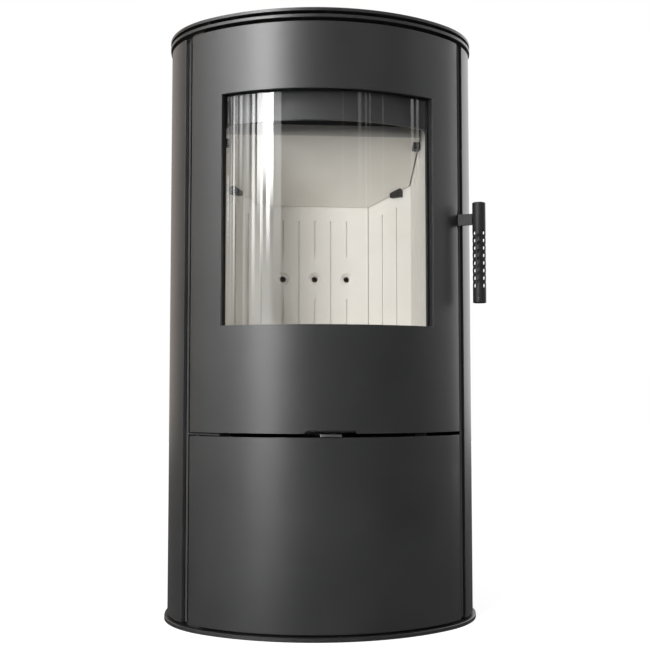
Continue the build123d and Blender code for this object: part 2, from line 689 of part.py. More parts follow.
with BuildPart() as baffle_brackets:
    for side in (-1, 1):
        middle = (side * (LINING_BACK_HALF + BRACKET_AT * panel_run[0]),
                  LINING_BACK_Y + BRACKET_AT * panel_run[1])
        with BuildSketch(Plane((middle[0], middle[1], baffle_z(middle[1]) - BRACKET_DROP),
                               x_dir=(panel_run[0], side * panel_run[1], 0), z_dir=(0, 0, 1))):
            Rectangle(BRACKET_W, 2 * BRACKET_REACH)
        extrude(amount=2 * BRACKET_DROP)
    with BuildSketch(Plane.XY.offset(HEARTH_Z)):
        firebox_plan(0, -BODY_HALF_WIDTH)
    extrude(amount=FIREBOX_TOP - HEARTH_Z, mode=Mode.INTERSECT)
    cut_under_baffle()
save(baffle_brackets, "baffle_brackets")

with BuildPart() as baffle_rests:
    with BuildSketch(Plane.XY.offset(baffle_z(REST_Y) - BRACKET_DROP)):
        for side in (-1, 1):
            with Locations((side * (LINING_SIDE_X - REST_W / 2), REST_Y)):
                Rectangle(REST_W, REST_L)
    extrude(amount=2 * BRACKET_DROP)
    cut_under_baffle()
save(baffle_rests, "baffle_rests")

with BuildPart() as log_retainer:
    with BuildSketch(Plane.XY.offset(HEARTH_Z)):
        strip(-RETAINER_ANGLE, RETAINER_ANGLE, RETAINER_INSET, RETAINER_INSET + FRONT_T)
    extrude(amount=RETAINER_H)
save(log_retainer, "log_retainer")

with BuildPart() as ash_pan:
    with BuildSketch(Plane.XY.offset(FIREBOX_Z + FIREBOX_T)):
        with Locations((0, PAN_FRONT_Y)):
            Rectangle(2 * PAN_HALF, PAN_LENGTH, align=(Align.CENTER, Align.MIN))
    extrude(amount=PAN_H)
    fillet(ash_pan.edges().filter_by(Axis.Z), 6)
    offset(amount=-PANEL_T, openings=ash_pan.faces().sort_by(Axis.Z)[-1])
    with BuildSketch(Plane.XZ.offset(-PAN_FRONT_Y)):
        with Locations((0, FIREBOX_Z + FIREBOX_T + PAN_H / 2)):
            RectangleRounded(PAN_GRIP_W, PAN_GRIP_H, 4)
            RectangleRounded(PAN_GRIP_W - 10, PAN_GRIP_H - 10, 2, mode=Mode.SUBTRACT)
    extrude(amount=PAN_GRIP_OUT)
save(ash_pan, "ash_pan")

# Shelf, feet and air box under the firebox
with BuildPart() as heat_shelf:
    with BuildSketch(Plane.XY.offset(SHELF_Z)):
        oval(FRONT_INSET - 4.0)
        Rectangle(2 * UPRIGHT_X, 4 * BODY_HALF_WIDTH, mode=Mode.INTERSECT)
    extrude(amount=PANEL_T)
save(heat_shelf, "heat_shelf")

with BuildPart() as firebox_feet:
    with BuildSketch(Plane.XY.offset(SHELF_Z + PANEL_T)):
        with Locations((0, FEET_Y)):
            with GridLocations(2 * FEET_X, FEET_PITCH_Y, 2, 2):
                Rectangle(FEET_W, FEET_W)
                Rectangle(FEET_W - 2 * PANEL_T, FEET_W - 2 * PANEL_T, mode=Mode.SUBTRACT)
    extrude(amount=FIREBOX_Z - SHELF_Z - PANEL_T)
save(firebox_feet, "firebox_feet")

with BuildPart() as shelf_angles:
    for side in (-1, 1):
        with BuildSketch(Plane.XZ.offset(-SHELF_ANGLE_Y)):
            with BuildLine():
                x = side * UPRIGHT_X
                Polyline((x, SHELF_Z), (x - side * ANGLE_W, SHELF_Z),
                         (x - side * ANGLE_W, SHELF_Z - PANEL_T),
                         (x - side * PANEL_T, SHELF_Z - PANEL_T),
                         (x - side * PANEL_T, SHELF_Z - ANGLE_W), (x, SHELF_Z - ANGLE_W),
                         close=True)
            make_face()
        extrude(amount=SHELF_ANGLE_L)
save(shelf_angles, "shelf_angles")

SLIDE_Z = UPPER_Z - FIT
with BuildPart() as air_box:
    with BuildSketch(Plane.XY.offset(SLIDE_Z + SLIDE_T + FIT)):
        with Locations((0, SLIDE_Y)):
            Rectangle(2 * AIR_BOX_HALF, AIR_BOX_W)
    extrude(amount=FIREBOX_Z - SLIDE_Z - SLIDE_T - FIT)
    with BuildSketch(Plane.XY.offset(SLIDE_Z + 2 * SLIDE_T + FIT)):
        with Locations((0, SLIDE_Y)):
            Rectangle(2 * (AIR_BOX_HALF - SLIDE_T), AIR_BOX_W - 2 * SLIDE_T)
    extrude(amount=FIREBOX_Z - SLIDE_Z - 2 * SLIDE_T - FIT, mode=Mode.SUBTRACT)
    with BuildSketch(Plane.XY.offset(SLIDE_Z)):
        with Locations((0, SLIDE_Y)):
            with GridLocations(PORT_PITCH, 1, 3, 1):
                Rectangle(PORT_L, PORT_W)
    extrude(amount=4 * SLIDE_T, mode=Mode.SUBTRACT)
save(air_box, "air_box")

with BuildPart() as slide_rails:
    for y, face, runs in ((SLIDE_Y + SLIDE_W / 2 + FIT, 1, ((-AIR_BOX_HALF, AIR_BOX_HALF),)),
                          (SLIDE_Y - SLIDE_W / 2 - FIT, -1,
                           ((-AIR_BOX_HALF, -RAIL_IN), (RAIL_IN, AIR_BOX_HALF)))):
        for start, stop in runs:
            with BuildSketch(Plane.YZ.offset(start)):
                with BuildLine():
                    top = SLIDE_Z + SLIDE_T + FIT
                    low = SLIDE_Z - FIT
                    Polyline((y, top), (y + face * RAIL_W, top),
                             (y + face * RAIL_W, low - RAIL_T), (y - face * RAIL_W, low - RAIL_T),
                             (y - face * RAIL_W, low), (y, low), close=True)
                make_face()
            extrude(amount=stop - start)
save(slide_rails, "slide_rails")

with BuildPart() as air_slide:
    with BuildSketch(Plane.XY.offset(SLIDE_Z)):
        with Locations((0, SLIDE_Y)):
            Rectangle(2 * SLIDE_HALF, SLIDE_W)
            with GridLocations(PORT_PITCH, 1, 3, 1):
                Rectangle(PORT_L, PORT_W, mode=Mode.SUBTRACT)
    extrude(amount=SLIDE_T)
save(air_slide, "air_slide")

with BuildPart() as air_lever:
    arm_right = -FIT
    arm_front = FRONT_Y + 2 * LEVER_NECK
    with BuildSketch(Plane.XY.offset(SLIDE_Z - LEVER_T)):
        with BuildLine():
            Polyline((-LEVER_HALF + LEVER_PROUD, FRONT_Y + LEVER_PROUD),
                     (LEVER_HALF - LEVER_PROUD, FRONT_Y + LEVER_PROUD),
                     (arm_right, arm_front), (arm_right, SLIDE_Y),
                     (arm_right - LEVER_ARM_W, SLIDE_Y), (arm_right - LEVER_ARM_W, arm_front),
                     (-LEVER_HALF + LEVER_PROUD, FRONT_Y + LEVER_NECK), close=True)
        make_face()
    extrude(amount=LEVER_T)
    with BuildSketch(Plane.XY.offset(SLIDE_Z - LEVER_H)):
        with Locations((0, FRONT_Y - LEVER_PROUD)):
            Rectangle(2 * LEVER_HALF, 3 * LEVER_PROUD, align=(Align.CENTER, Align.MIN))
    extrude(amount=LEVER_H)
    chamfer(air_lever.faces().sort_by(Axis.Y)[0].edges(), LEVER_CUT / 2)
save(air_lever, "air_lever")

# Doors
def strip_solid(start, end, outer, inner, bottom, top, mode=Mode.ADD):
    """A curved band of the outline standing between two levels."""
    with BuildSketch(Plane.XY.offset(bottom)) as band:
        strip(start, end, outer, inner)
    extrude(band.sketch, amount=top - bottom, mode=mode)


PAN_ANGLE = DOOR_ANGLE - PAN_MARGIN
LAP_ANGLE = degrees(GLASS_LAP / FRONT_RADIUS)
WALL_ANGLE = degrees(PAN_T / SIDE_RADIUS)

with BuildPart() as upper_door_skin:
    strip_solid(-DOOR_ANGLE, DOOR_ANGLE, 0, SKIN_T, UPPER_Z, UPPER_TOP)
    strip_solid(-WINDOW_ANGLE, WINDOW_ANGLE, -1, SKIN_T + 1, WINDOW_BOTTOM, WINDOW_TOP,
                mode=Mode.SUBTRACT)
    with BuildSketch(Plane.XZ):
        with BuildLine():
            Polyline((-NOTCH_HALF, UPPER_Z - 1), (-NOTCH_HALF, UPPER_Z),
                     (-NOTCH_HALF + NOTCH_SLOPE, UPPER_Z + NOTCH_H),
                     (NOTCH_HALF - NOTCH_SLOPE, UPPER_Z + NOTCH_H), (NOTCH_HALF, UPPER_Z),
                     (NOTCH_HALF, UPPER_Z - 1), close=True)
        make_face()
    extrude(amount=BODY_HALF_WIDTH, mode=Mode.SUBTRACT)
    edge = on_outline(DOOR_ANGLE, SKIN_T / 2)
    outward = (sin(radians(DOOR_ANGLE)), -cos(radians(DOOR_ANGLE)), 0)
    along = (cos(radians(DOOR_ANGLE)), sin(radians(DOOR_ANGLE)), 0)
    with BuildSketch(Plane((edge[0], edge[1], LATCH_Z), x_dir=along, z_dir=outward)):
        with Locations((RELIEF_R - RELIEF_DEPTH, 0)):
            Circle(RELIEF_R)
    extrude(amount=SKIN_T, both=True, mode=Mode.SUBTRACT)
save(upper_door_skin, "upper_door_skin")

with BuildPart() as upper_door_pan:
    low = UPPER_Z + PAN_EDGE
    high = UPPER_TOP - PAN_EDGE
    strip_solid(-PAN_ANGLE, PAN_ANGLE, SKIN_T + FIT, UPPER_PAN_DEPTH, low, high)
    strip_solid(-PAN_ANGLE + WALL_ANGLE, PAN_ANGLE - WALL_ANGLE, SKIN_T,
                UPPER_PAN_DEPTH - PAN_T, low + PAN_T, high - PAN_T, mode=Mode.SUBTRACT)
    strip_solid(-WINDOW_ANGLE - 1, WINDOW_ANGLE + 1, SKIN_T, UPPER_PAN_DEPTH + 1,
                WINDOW_BOTTOM - LEDGE / 2, WINDOW_TOP + LEDGE / 2, mode=Mode.SUBTRACT)
save(upper_door_pan, "upper_door_pan")

GLASS_INSET = SKIN_T + GASKET_T
with BuildPart() as window_gasket:
    strip_solid(-WINDOW_ANGLE - LAP_ANGLE, WINDOW_ANGLE + LAP_ANGLE, SKIN_T + GASKET_FIT,
                GLASS_INSET - GASKET_FIT, WINDOW_BOTTOM - GLASS_LAP, WINDOW_TOP + GLASS_LAP)
    strip_solid(-WINDOW_ANGLE, WINDOW_ANGLE, 0, GLASS_INSET + 1, WINDOW_BOTTOM, WINDOW_TOP,
                mode=Mode.SUBTRACT)
save(window_gasket, "window_gasket")

with BuildPart() as window_glass:
    strip_solid(-WINDOW_ANGLE - LAP_ANGLE, WINDOW_ANGLE + LAP_ANGLE, GLASS_INSET,
                GLASS_INSET + GLASS_T, WINDOW_BOTTOM - GLASS_LAP, WINDOW_TOP + GLASS_LAP)
save(window_glass, "window_glass")

clip_inset = GLASS_INSET + GLASS_T + FIT
clip_levels = (WINDOW_BOTTOM - GLASS_LAP - CLIP_OUT, WINDOW_TOP + GLASS_LAP + CLIP_OUT - CLIP_H)
with BuildPart() as glass_clips:
    for level in clip_levels:
        for a in CLIP_ANGLES:
            strip_solid(a - CLIP_HALF_ANGLE, a + CLIP_HALF_ANGLE, clip_inset,
                        UPPER_PAN_DEPTH - PAN_T - FIT, level, level + CLIP_H)
save(glass_clips, "glass_clips")

with BuildPart() as clip_studs:
    for level in (WINDOW_BOTTOM - GLASS_LAP - CLIP_OUT / 2, WINDOW_TOP + GLASS_LAP + CLIP_OUT / 2):
        for a in CLIP_ANGLES:
            foot = on_outline(a, clip_inset - FIT)
            with BuildSketch(Plane((foot[0], foot[1], level), x_dir=(0, 0, 1),
                                   z_dir=(sin(radians(a)), -cos(radians(a)), 0))):
                Circle(STUD_R)
            extrude(amount=clip_inset - 3 * FIT - SKIN_T)
save(clip_studs, "clip_studs")

with BuildPart() as door_rope_seal:
    rope_angle = PAN_ANGLE - 1
    rope_low = UPPER_Z + 2 * PAN_EDGE
    rope_high = UPPER_TOP - 2 * PAN_EDGE
    rope_turn = degrees(ROPE_W / (SIDE_RADIUS - UPPER_PAN_DEPTH))
    strip_solid(-rope_angle, rope_angle, UPPER_PAN_DEPTH + FIT, UPPER_PAN_DEPTH + ROPE_W,
                rope_low, rope_high)
    strip_solid(-rope_angle + rope_turn, rope_angle - rope_turn, UPPER_PAN_DEPTH,
                UPPER_PAN_DEPTH + 2 * ROPE_W, rope_low + ROPE_W, rope_high - ROPE_W,
                mode=Mode.SUBTRACT)
save(door_rope_seal, "door_rope_seal")

with BuildPart() as lower_door_skin:
    strip_solid(-DOOR_ANGLE, DOOR_ANGLE, 0, SKIN_T, BODY_Z, LOWER_TOP)
save(lower_door_skin, "lower_door_skin")

with BuildPart() as lower_door_pan:
    low = BODY_Z + PAN_EDGE
    high = LOWER_TOP - PAN_EDGE
    strip_solid(-PAN_ANGLE, PAN_ANGLE, SKIN_T + FIT, LOWER_PAN_DEPTH, low, high)
    strip_solid(-PAN_ANGLE + WALL_ANGLE, PAN_ANGLE - WALL_ANGLE, SKIN_T,
                LOWER_PAN_DEPTH - PAN_T, low + PAN_T, high - PAN_T, mode=Mode.SUBTRACT)
save(lower_door_pan, "lower_door_pan")

# Hinges
for label, bottoms in (("upper_hinge_blocks", (UPPER_Z + BLOCK_GAP, UPPER_TOP - BLOCK_GAP - BLOCK_H)),
                       ("lower_hinge_blocks", (BODY_Z + BLOCK_GAP, LOWER_TOP - BLOCK_GAP - BLOCK_H))):
    with BuildPart() as blocks:
        for bottom in bottoms:
            with BuildSketch(Plane.XY.offset(bottom)):
                with Locations(HINGE):
                    Circle(BLOCK_R)
                strip(HINGE_ANGLE, -PAN_ANGLE, HINGE_INSET - BLOCK_WEB, HINGE_INSET + BLOCK_WEB)
                with Locations(HINGE):
                    Circle(PIN_R + SLIP, mode=Mode.SUBTRACT)
            extrude(amount=BLOCK_H)
    save(blocks, label)

for label, level, start, stop in (
        ("top_hinge_bracket", PLATE_Z - HINGE_PLATE_T, UPPER_TOP - PIN_ENGAGE, PLATE_Z),
        ("middle_hinge_bracket", LOWER_TOP + BLOCK_GAP + 2 * FIT, LOWER_TOP - PIN_ENGAGE,
         UPPER_Z + PIN_ENGAGE),
        ("bottom_hinge_bracket", BASE_T, BASE_T, BODY_Z + PIN_ENGAGE)):
    with BuildPart() as bracket:
        middle = label == "middle_hinge_bracket"
        with BuildSketch(Plane.XY.offset(level)):
            strip(HINGE_ANGLE - 4, -MIDDLE_BRACKET_ANGLE if middle else HINGE_ANGLE + 4,
                  HINGE_INSET - 6, FRONT_INSET - FIT)
            if middle:
                with Locations((-UPRIGHT_X, UPRIGHT_FRONT_Y)):
                    Rectangle(2 * BLOCK_H, BLOCK_H, align=(Align.MIN, Align.MIN))
                oval(FRONT_INSET + FRONT_T, mode=Mode.SUBTRACT)
        extrude(amount=HINGE_PLATE_T)
        with BuildSketch(Plane.XY.offset(start)):
            with Locations(HINGE):
                Circle(PIN_R)
        extrude(amount=stop - start)
    save(bracket, label)

# Latch and handle
arm_low = LATCH_Z - ARM_H / 2
arm_high = LATCH_Z + ARM_H / 2
with BuildPart() as latch_pivot:
    for level in (arm_low - FIT - LUG_T, arm_high + FIT):
        strip_solid(PAN_ANGLE, DOOR_ANGLE + 1.8, SKIN_T + FIT, UPPER_PAN_DEPTH + LUG_PAST,
                    level, level + LUG_T)
    with BuildSketch(Plane.XY.offset(arm_low - FIT - LUG_T)):
        with Locations(LATCH):
            Circle(LATCH_PIN_R)
    extrude(amount=ARM_H + 2 * FIT + 2 * LUG_T)
save(latch_pivot, "latch_pivot")

arm_plane = Plane((LATCH[0], LATCH[1], arm_low), x_dir=(cos(radians(LATCH_TURN)),
                                                      sin(radians(LATCH_TURN)), 0),
                  z_dir=(0, 0, 1))
HANDLE = (LATCH[0] + ARM_L * cos(radians(LATCH_TURN)), LATCH[1] + ARM_L * sin(radians(LATCH_TURN)))
with BuildPart() as latch_arm:
    with BuildSketch(arm_plane):
        Rectangle(ARM_L, ARM_T, align=(Align.MIN, Align.CENTER))
    extrude(amount=ARM_H)
    with BuildSketch(Plane.XY.offset(arm_low)):
        with Locations(LATCH):
            Circle(LATCH_BOSS_R)
        with BuildLine():
            Polyline((LATCH[0], LATCH[1]), (LATCH[0] + HOOK_IN, LATCH[1]),
                     (LATCH[0] + HOOK_IN, LATCH[1] + HOOK_REACH - HOOK_T),
                     (LATCH[0], LATCH[1] + HOOK_REACH - HOOK_T), (LATCH[0], LATCH[1] + HOOK_REACH),
                     (LATCH[0] + HOOK_IN + HOOK_T, LATCH[1] + HOOK_REACH),
                     (LATCH[0] + HOOK_IN + HOOK_T, LATCH[1]), close=True)
        make_face()
    extrude(amount=ARM_H)
    with BuildSketch(Plane.XY.offset(arm_low)):
        with Locations(LATCH):
            Circle(LATCH_PIN_R + SLIP)
        with Locations(HANDLE):
            Circle(HANDLE_R + ARM_FIT)
    extrude(amount=ARM_H, mode=Mode.SUBTRACT)
save(latch_arm, "latch_arm")

with BuildPart() as handle_tube:
    with BuildSketch(Plane.XY.offset(HANDLE_BOTTOM)):
        with Locations(HANDLE):
            Circle(HANDLE_R)
            Circle(HANDLE_R - HANDLE_WALL, mode=Mode.SUBTRACT)
    extrude(amount=HANDLE_L)
    chamfer(handle_tube.edges().filter_by(GeomType.CIRCLE).sort_by(SortBy.RADIUS)[-2:],
            HANDLE_CHAMFER)
    for rows, first, turn in ((HOLE_ROWS, HOLE_FIRST_Z, HOLE_TURN),
                              (HOLE_ROWS - 1, HOLE_FIRST_Z + HOLE_PITCH / 2, HOLE_TURN + 45)):
        for k in range(rows):
            for quarter in (0, 90):
                direction = radians(turn + quarter)
                with BuildSketch(Plane((*HANDLE, first + k * HOLE_PITCH), x_dir=(0, 0, 1),
                                       z_dir=(sin(direction), -cos(direction), 0))):
                    Circle(HOLE_R)
                extrude(amount=2 * HANDLE_R, both=True, mode=Mode.SUBTRACT)
save(handle_tube, "handle_tube")

with BuildPart() as striker:
    bar_low = arm_low - STRIKER_PAST
    bar_high = arm_high + STRIKER_PAST
    bar_x = LATCH[0] + HOOK_IN - HOOK_GAP
    bar_y = LATCH[1] + HOOK_REACH - HOOK_T - HOOK_GAP
    with BuildSketch(Plane.XY.offset(bar_low)):
        with Locations((bar_x, bar_y)):
            Rectangle(STRIKER_W, STRIKER_W, align=(Align.MAX, Align.MAX))
    extrude(amount=bar_high - bar_low)
    for level in (bar_low, bar_high - LUG_T):
        with BuildSketch(Plane.XY.offset(level)):
            with Locations((bar_x, bar_y - STRIKER_W)):
                Rectangle(3 * STRIKER_W, 4 * STRIKER_W, align=(Align.MAX, Align.MIN))
            oval(FRONT_INSET - FIT, mode=Mode.SUBTRACT)
        extrude(amount=LUG_T)
save(striker, "striker")

# Magnetic catch of the lower door
with BuildPart() as catch_plate:
    strip_solid(PAN_ANGLE, PAN_ANGLE + CATCH_TURN, LOWER_PAN_DEPTH - PAN_T, LOWER_PAN_DEPTH,
                CATCH_Z, CATCH_Z + CATCH_H)
save(catch_plate, "catch_plate")

with BuildPart() as door_catch:
    strip_solid(PAN_ANGLE + 0.5, PAN_ANGLE + CATCH_TURN, LOWER_PAN_DEPTH + 2 * FIT,
                LOWER_PAN_DEPTH + CATCH_DEPTH, CATCH_Z, CATCH_Z + CATCH_H)
    root = on_outline(PAN_ANGLE + CATCH_TURN, LOWER_PAN_DEPTH + CATCH_DEPTH)
    with BuildSketch(Plane.XY.offset(CATCH_Z)):
        with Locations((UPRIGHT_X, root[1] - CATCH_DEPTH / 2)):
            Rectangle(UPRIGHT_X - root[0] + PANEL_T, 1.5 * CATCH_DEPTH,
                      align=(Align.MAX, Align.MIN))
    extrude(amount=CATCH_H)
save(door_catch, "door_catch")
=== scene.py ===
# %% [markdown]
# An oval freestanding wood stove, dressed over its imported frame. The frame holds every solid
# piece of the stove already, so this lesson only makes anew what the camera sees closely: the
# doors, the pane, the side sheets, the top and the handle. Everything else keeps the frame's
# mesh and gets a finish. Lengths are in metres in the scene and in millimetres in the sums. The
# front looks along -Y, and the origin is the middle of the base plate's underside.

# %% Start
import json
import math

import bpy
import numpy as np
from mathutils import Matrix, Vector
from mathutils.geometry import delaunay_2d_cdt


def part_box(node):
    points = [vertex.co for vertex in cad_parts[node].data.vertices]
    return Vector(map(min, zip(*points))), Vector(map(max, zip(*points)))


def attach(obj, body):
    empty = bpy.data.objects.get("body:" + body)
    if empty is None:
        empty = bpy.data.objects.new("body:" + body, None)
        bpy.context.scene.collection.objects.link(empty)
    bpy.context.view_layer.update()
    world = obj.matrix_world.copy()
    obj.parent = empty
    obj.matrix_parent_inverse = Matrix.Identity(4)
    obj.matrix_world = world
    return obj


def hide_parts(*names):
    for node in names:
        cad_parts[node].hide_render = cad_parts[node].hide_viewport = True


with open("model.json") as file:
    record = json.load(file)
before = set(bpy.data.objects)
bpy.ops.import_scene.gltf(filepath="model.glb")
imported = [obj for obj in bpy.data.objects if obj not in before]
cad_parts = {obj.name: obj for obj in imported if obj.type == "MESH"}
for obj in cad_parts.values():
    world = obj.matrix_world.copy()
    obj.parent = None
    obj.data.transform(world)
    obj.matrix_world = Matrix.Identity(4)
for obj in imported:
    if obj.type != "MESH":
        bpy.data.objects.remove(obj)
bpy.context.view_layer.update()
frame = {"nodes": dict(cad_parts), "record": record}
nodes = frame["nodes"]
mm = 0.001
print("nodes", len(nodes))

# %% [markdown]
# Seen from above, the stove is an oval of four arcs: two wide ones at the front and back, two
# tighter ones at the sides, and a short straight between them. It could be drawn as a curve
# object, but a formula is better here, because doors, sheets and plates can then all ask it for
# the same line and stay in step. A place is told by the length walked along the line from the
# middle of the front, positive to the right, and by how far it's set in from the line.

# %% Outline of the body
front_radius, side_radius, side_straight, half_width = 300.0, 164.0, 16.0, 250.0
side_x = half_width - side_radius
arc_break = math.asin(side_x / (front_radius - side_radius))
front_y = (front_radius - side_radius) * math.cos(arc_break)
side_arc = side_radius * (math.pi / 2 - arc_break)
front_end = front_radius * arc_break
side_end = front_end + side_arc
straight_end = side_end + side_straight
rear_end = straight_end + side_arc
half_round = rear_end + front_radius * arc_break
print("half the way round", round(half_round, 1), "mm")


# %% From a facing angle to a walked length
def walked(angle):
    """Length walked to the place that faces this many degrees: radius times turn, arc by arc."""
    turn = math.radians(angle)
    starts = [0.0, arc_break, math.pi / 2, math.pi - arc_break]
    lengths = [0.0, front_end, straight_end, rear_end]
    radii = [front_radius, side_radius, side_radius, front_radius]
    k = sum(turn > start for start in starts[1:])
    return lengths[k] + radii[k] * (turn - starts[k])


# %% From a walked length to a place in plan
def plan(s, inset):
    """Places at walked lengths s, set in from the line.

    On an arc a place is the arc's middle plus the radius, less the inset, times the sine and
    minus the cosine of its turn. The left half is the right half with x turned to minus x.
    """
    t = np.abs(np.asarray(s, float))
    spans = [t <= front_end, t <= side_end, t <= straight_end, t <= rear_end]
    turn = np.select(spans, [t / front_radius, arc_break + (t - front_end) / side_radius,
                             np.full_like(t, math.pi / 2),
                             math.pi / 2 + (t - straight_end) / side_radius],
                     math.pi - arc_break + (t - rear_end) / front_radius)
    wide = (t <= front_end) | (t > rear_end)
    radius = np.where(wide, front_radius, side_radius) - inset
    middle_x = np.where(wide, 0.0, side_x)
    middle_y = np.select(spans, [np.full_like(t, front_y), np.zeros_like(t), t - side_end,
                                 np.full_like(t, side_straight)], side_straight - front_y)
    x = middle_x + radius * np.sin(turn)
    return np.where(np.asarray(s) < 0, -x, x), middle_y - radius * np.cos(turn)


print("front", [round(float(v), 1) for v in plan(0.0, 0.0)],
      "side", [round(float(v), 1) for v in plan(side_end, 0.0)])

# %% [markdown]
# A new piece comes as one array of points and a list of faces. Its place goes into the mesh and
# the object stays at the origin, because patterns on Object coordinates would slide otherwise.
# Faces have to point outwards, and mirroring a shape turns it inside out. The signed volume
# tells: summed over all triangles, a point's product with the next two is positive when the
# faces look out. A piece that measures below nothing is turned over.

# %% Putting a piece into the scene
def make(name, points, faces, body, replaces=(), smooth=40):
    """A mesh piece from points in mm, riding on a body and standing for its CAD nodes."""
    mesh = bpy.data.meshes.new(name)
    mesh.from_pydata((np.asarray(points, float) * mm).tolist(), [], faces)
    mesh.validate()
    mesh.calc_loop_triangles()
    corners = np.zeros(3 * len(mesh.loop_triangles), np.int32)
    mesh.loop_triangles.foreach_get("vertices", corners)
    a, b, c = np.asarray(points, float)[corners.reshape(-1, 3)].transpose(1, 0, 2)
    volume = np.einsum("ij,ij->", a, np.cross(b, c)) / 6
    if volume < 0:
        mesh.flip_normals()
    mesh.polygons.foreach_set("use_smooth", np.ones(len(mesh.polygons), bool))
    mesh.set_sharp_from_angle(angle=math.radians(smooth))
    obj = bpy.data.objects.new(name, mesh)
    bpy.context.scene.collection.objects.link(obj)
    if replaces:
        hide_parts(*replaces)
    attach(obj, body)
    print(name, len(mesh.polygons), "faces", round(abs(volume) / 1000, 1), "cm3",
          "turned over" if volume < 0 else "")
    return obj


# %% [markdown]
# No sheet on a real stove has a knife edge. Laser cutting and paint leave a small round that
# catches a thin line of light. A bevel modifier gives it, and only where faces meet at more than
# the angle given, so that the curved faces stay as they are. Hardened normals keep the flat
# faces flat up to the round.

# %% Softened edges
def bevel(obj, width, weld=False, harden=True):
    """Rounds the piece's sharp edges by a width in mm."""
    if weld:
        join = obj.modifiers.new("weld", "WELD")
        join.merge_threshold = 0.01 * mm
    soft = obj.modifiers.new("bevel", "BEVEL")
    soft.width = width * mm
    soft.segments = 2
    soft.limit_method = "ANGLE"
    soft.angle_limit = math.radians(40)
    soft.harden_normals = harden
    return obj


# %% [markdown]
# Doors, pane, seal and firebox front are all bent sheets with a cut outline. Each is a function
# of two parameters, the walked length and the height: the formula of the plan puts a point of
# the flat cutting pattern on the oval. So the pattern is drawn flat, as a workshop would cut it
# before rolling. Its loops first get more points, so that long edges follow the curve.

# %% Loops of the cutting pattern
def square(s0, s1, z0, z1):
    """The four corners of a rectangle, as rows of walked length and height."""
    return np.array([(s0, z0), (s1, z0), (s1, z1), (s0, z1)])


def rounded(s0, s1, z0, z1, radius):
    """A rectangle with quarter circles: each middle plus the radius times cosine and sine."""
    middles = square(s0 + radius, s1 - radius, z0 + radius, z1 - radius)[[1, 2, 3, 0]]
    turn = np.radians(np.arange(-90, 181, 90)[:, None] + np.arange(0, 91, 15))
    return (middles[:, None] + radius * np.dstack([np.cos(turn), np.sin(turn)])).reshape(-1, 2)


def finer(loop, step, tall):
    """The loop with each side cut into equal lengths of at most step across and tall upwards."""
    side = np.roll(loop, -1, 0) - loop
    cuts = np.maximum(1, np.ceil(np.abs(side) / (step, tall)).max(1)).astype(int)
    corner = np.repeat(np.arange(len(loop)), cuts)
    part = (np.arange(cuts.sum()) - np.repeat(np.cumsum(cuts) - cuts, cuts)) / cuts[corner]
    return loop[corner] + side[corner] * part[:, None]


print("points of a rounded square", len(rounded(0, 40, 0, 40, 8)), "and cut finer",
      len(finer(rounded(0, 40, 0, 40, 8), 6, 40)))


# %% [markdown]
# The pattern is filled with triangles that keep to its loops, and those that lie in a window are
# dropped. A plain grid would be simpler, but it can't follow the latch's round relief and the
# openings' round corners. A spot lies inside a loop when a level line to its right crosses the
# loop an odd number of times.

# %% Filling the pattern
def within(spots, loop):
    """Tells for each spot if it lies inside the loop, by counting the sides to its right."""
    x0, z0 = loop.T
    x1, z1 = np.roll(loop, -1, 0).T
    x, z = spots.T[:, :, None]
    crosses = (z0 > z) != (z1 > z)
    rise = np.where(z1 == z0, 1.0, z1 - z0)
    return (crosses & (x < x0 + (x1 - x0) * (z - z0) / rise)).sum(1) % 2 == 1


def filled(loops, step, tall):
    """Points and triangles of the pattern: its loops, a grid between them, and no windows."""
    low, high = loops[0].min(0), loops[0].max(0)
    across = np.arange(low[0] + step, high[0] - step / 3, step)
    upwards = np.arange(low[1] + tall, high[1] - tall / 4, tall)
    grid = np.stack(np.meshgrid(across, upwards, indexing="ij"), -1).reshape(-1, 2)
    edges, first = [], 0
    for loop in loops:
        ring = first + np.arange(len(loop))
        edges += np.column_stack([ring, np.roll(ring, -1)]).tolist()
        first += len(loop)
    spots = list(map(Vector, np.vstack([*loops, grid]).tolist()))
    flat, _, triangles, *_ = delaunay_2d_cdt(spots, edges, [], 0, 1e-4)
    flat, triangles = np.array(flat), np.array(triangles)
    middle = flat[triangles].mean(1)
    kept = within(middle, loops[0])
    for hole in loops[1:]:
        kept &= ~within(middle, hole)
    return flat, triangles[kept]


# %% [markdown]
# A sheet has two faces and a narrow wall along every cut edge. Solidify could add the second
# face, but it would thicken along the normals, and neighbouring sheets would no longer share the
# oval exactly. Here both faces are the same pattern, set in by two depths. A wall stands on each
# edge that only one triangle uses.

# %% A bent sheet
def sheet(name, outer, holes, outer_face, inner_face, body, replaces, step=6.0, tall=40.0):
    """A bent sheet: each point of the pattern goes to its place in plan, once for each face."""
    flat, near = filled([finer(loop, step, tall) for loop in (outer, *holes)], step, tall)
    count = len(flat)
    start, end = near.ravel(), np.roll(near, -1, 1).ravel()
    alone = ~np.isin(end * count + start, start * count + end)
    wall = np.column_stack([end, start, start + count, end + count])[alone]
    points = np.vstack([np.column_stack([*plan(flat[:, 0], depth), flat[:, 1]])
                        for depth in (outer_face, inner_face)])
    faces = near.tolist() + (near[:, ::-1] + count).tolist() + wall.tolist()
    return make(name, points, faces, body, replaces)


def straight_in(x, depth):
    """Walked length of an edge cut straight in from the front, x to the right of the middle.

    It's the front's radius times the arcsine of x over the radius of the face at that depth.
    """
    return front_radius * np.arcsin(np.asarray(x, float) / (front_radius - depth))


print("a cut 150 mm from the middle is walked", round(float(straight_in(150, 0)), 1), "mm")

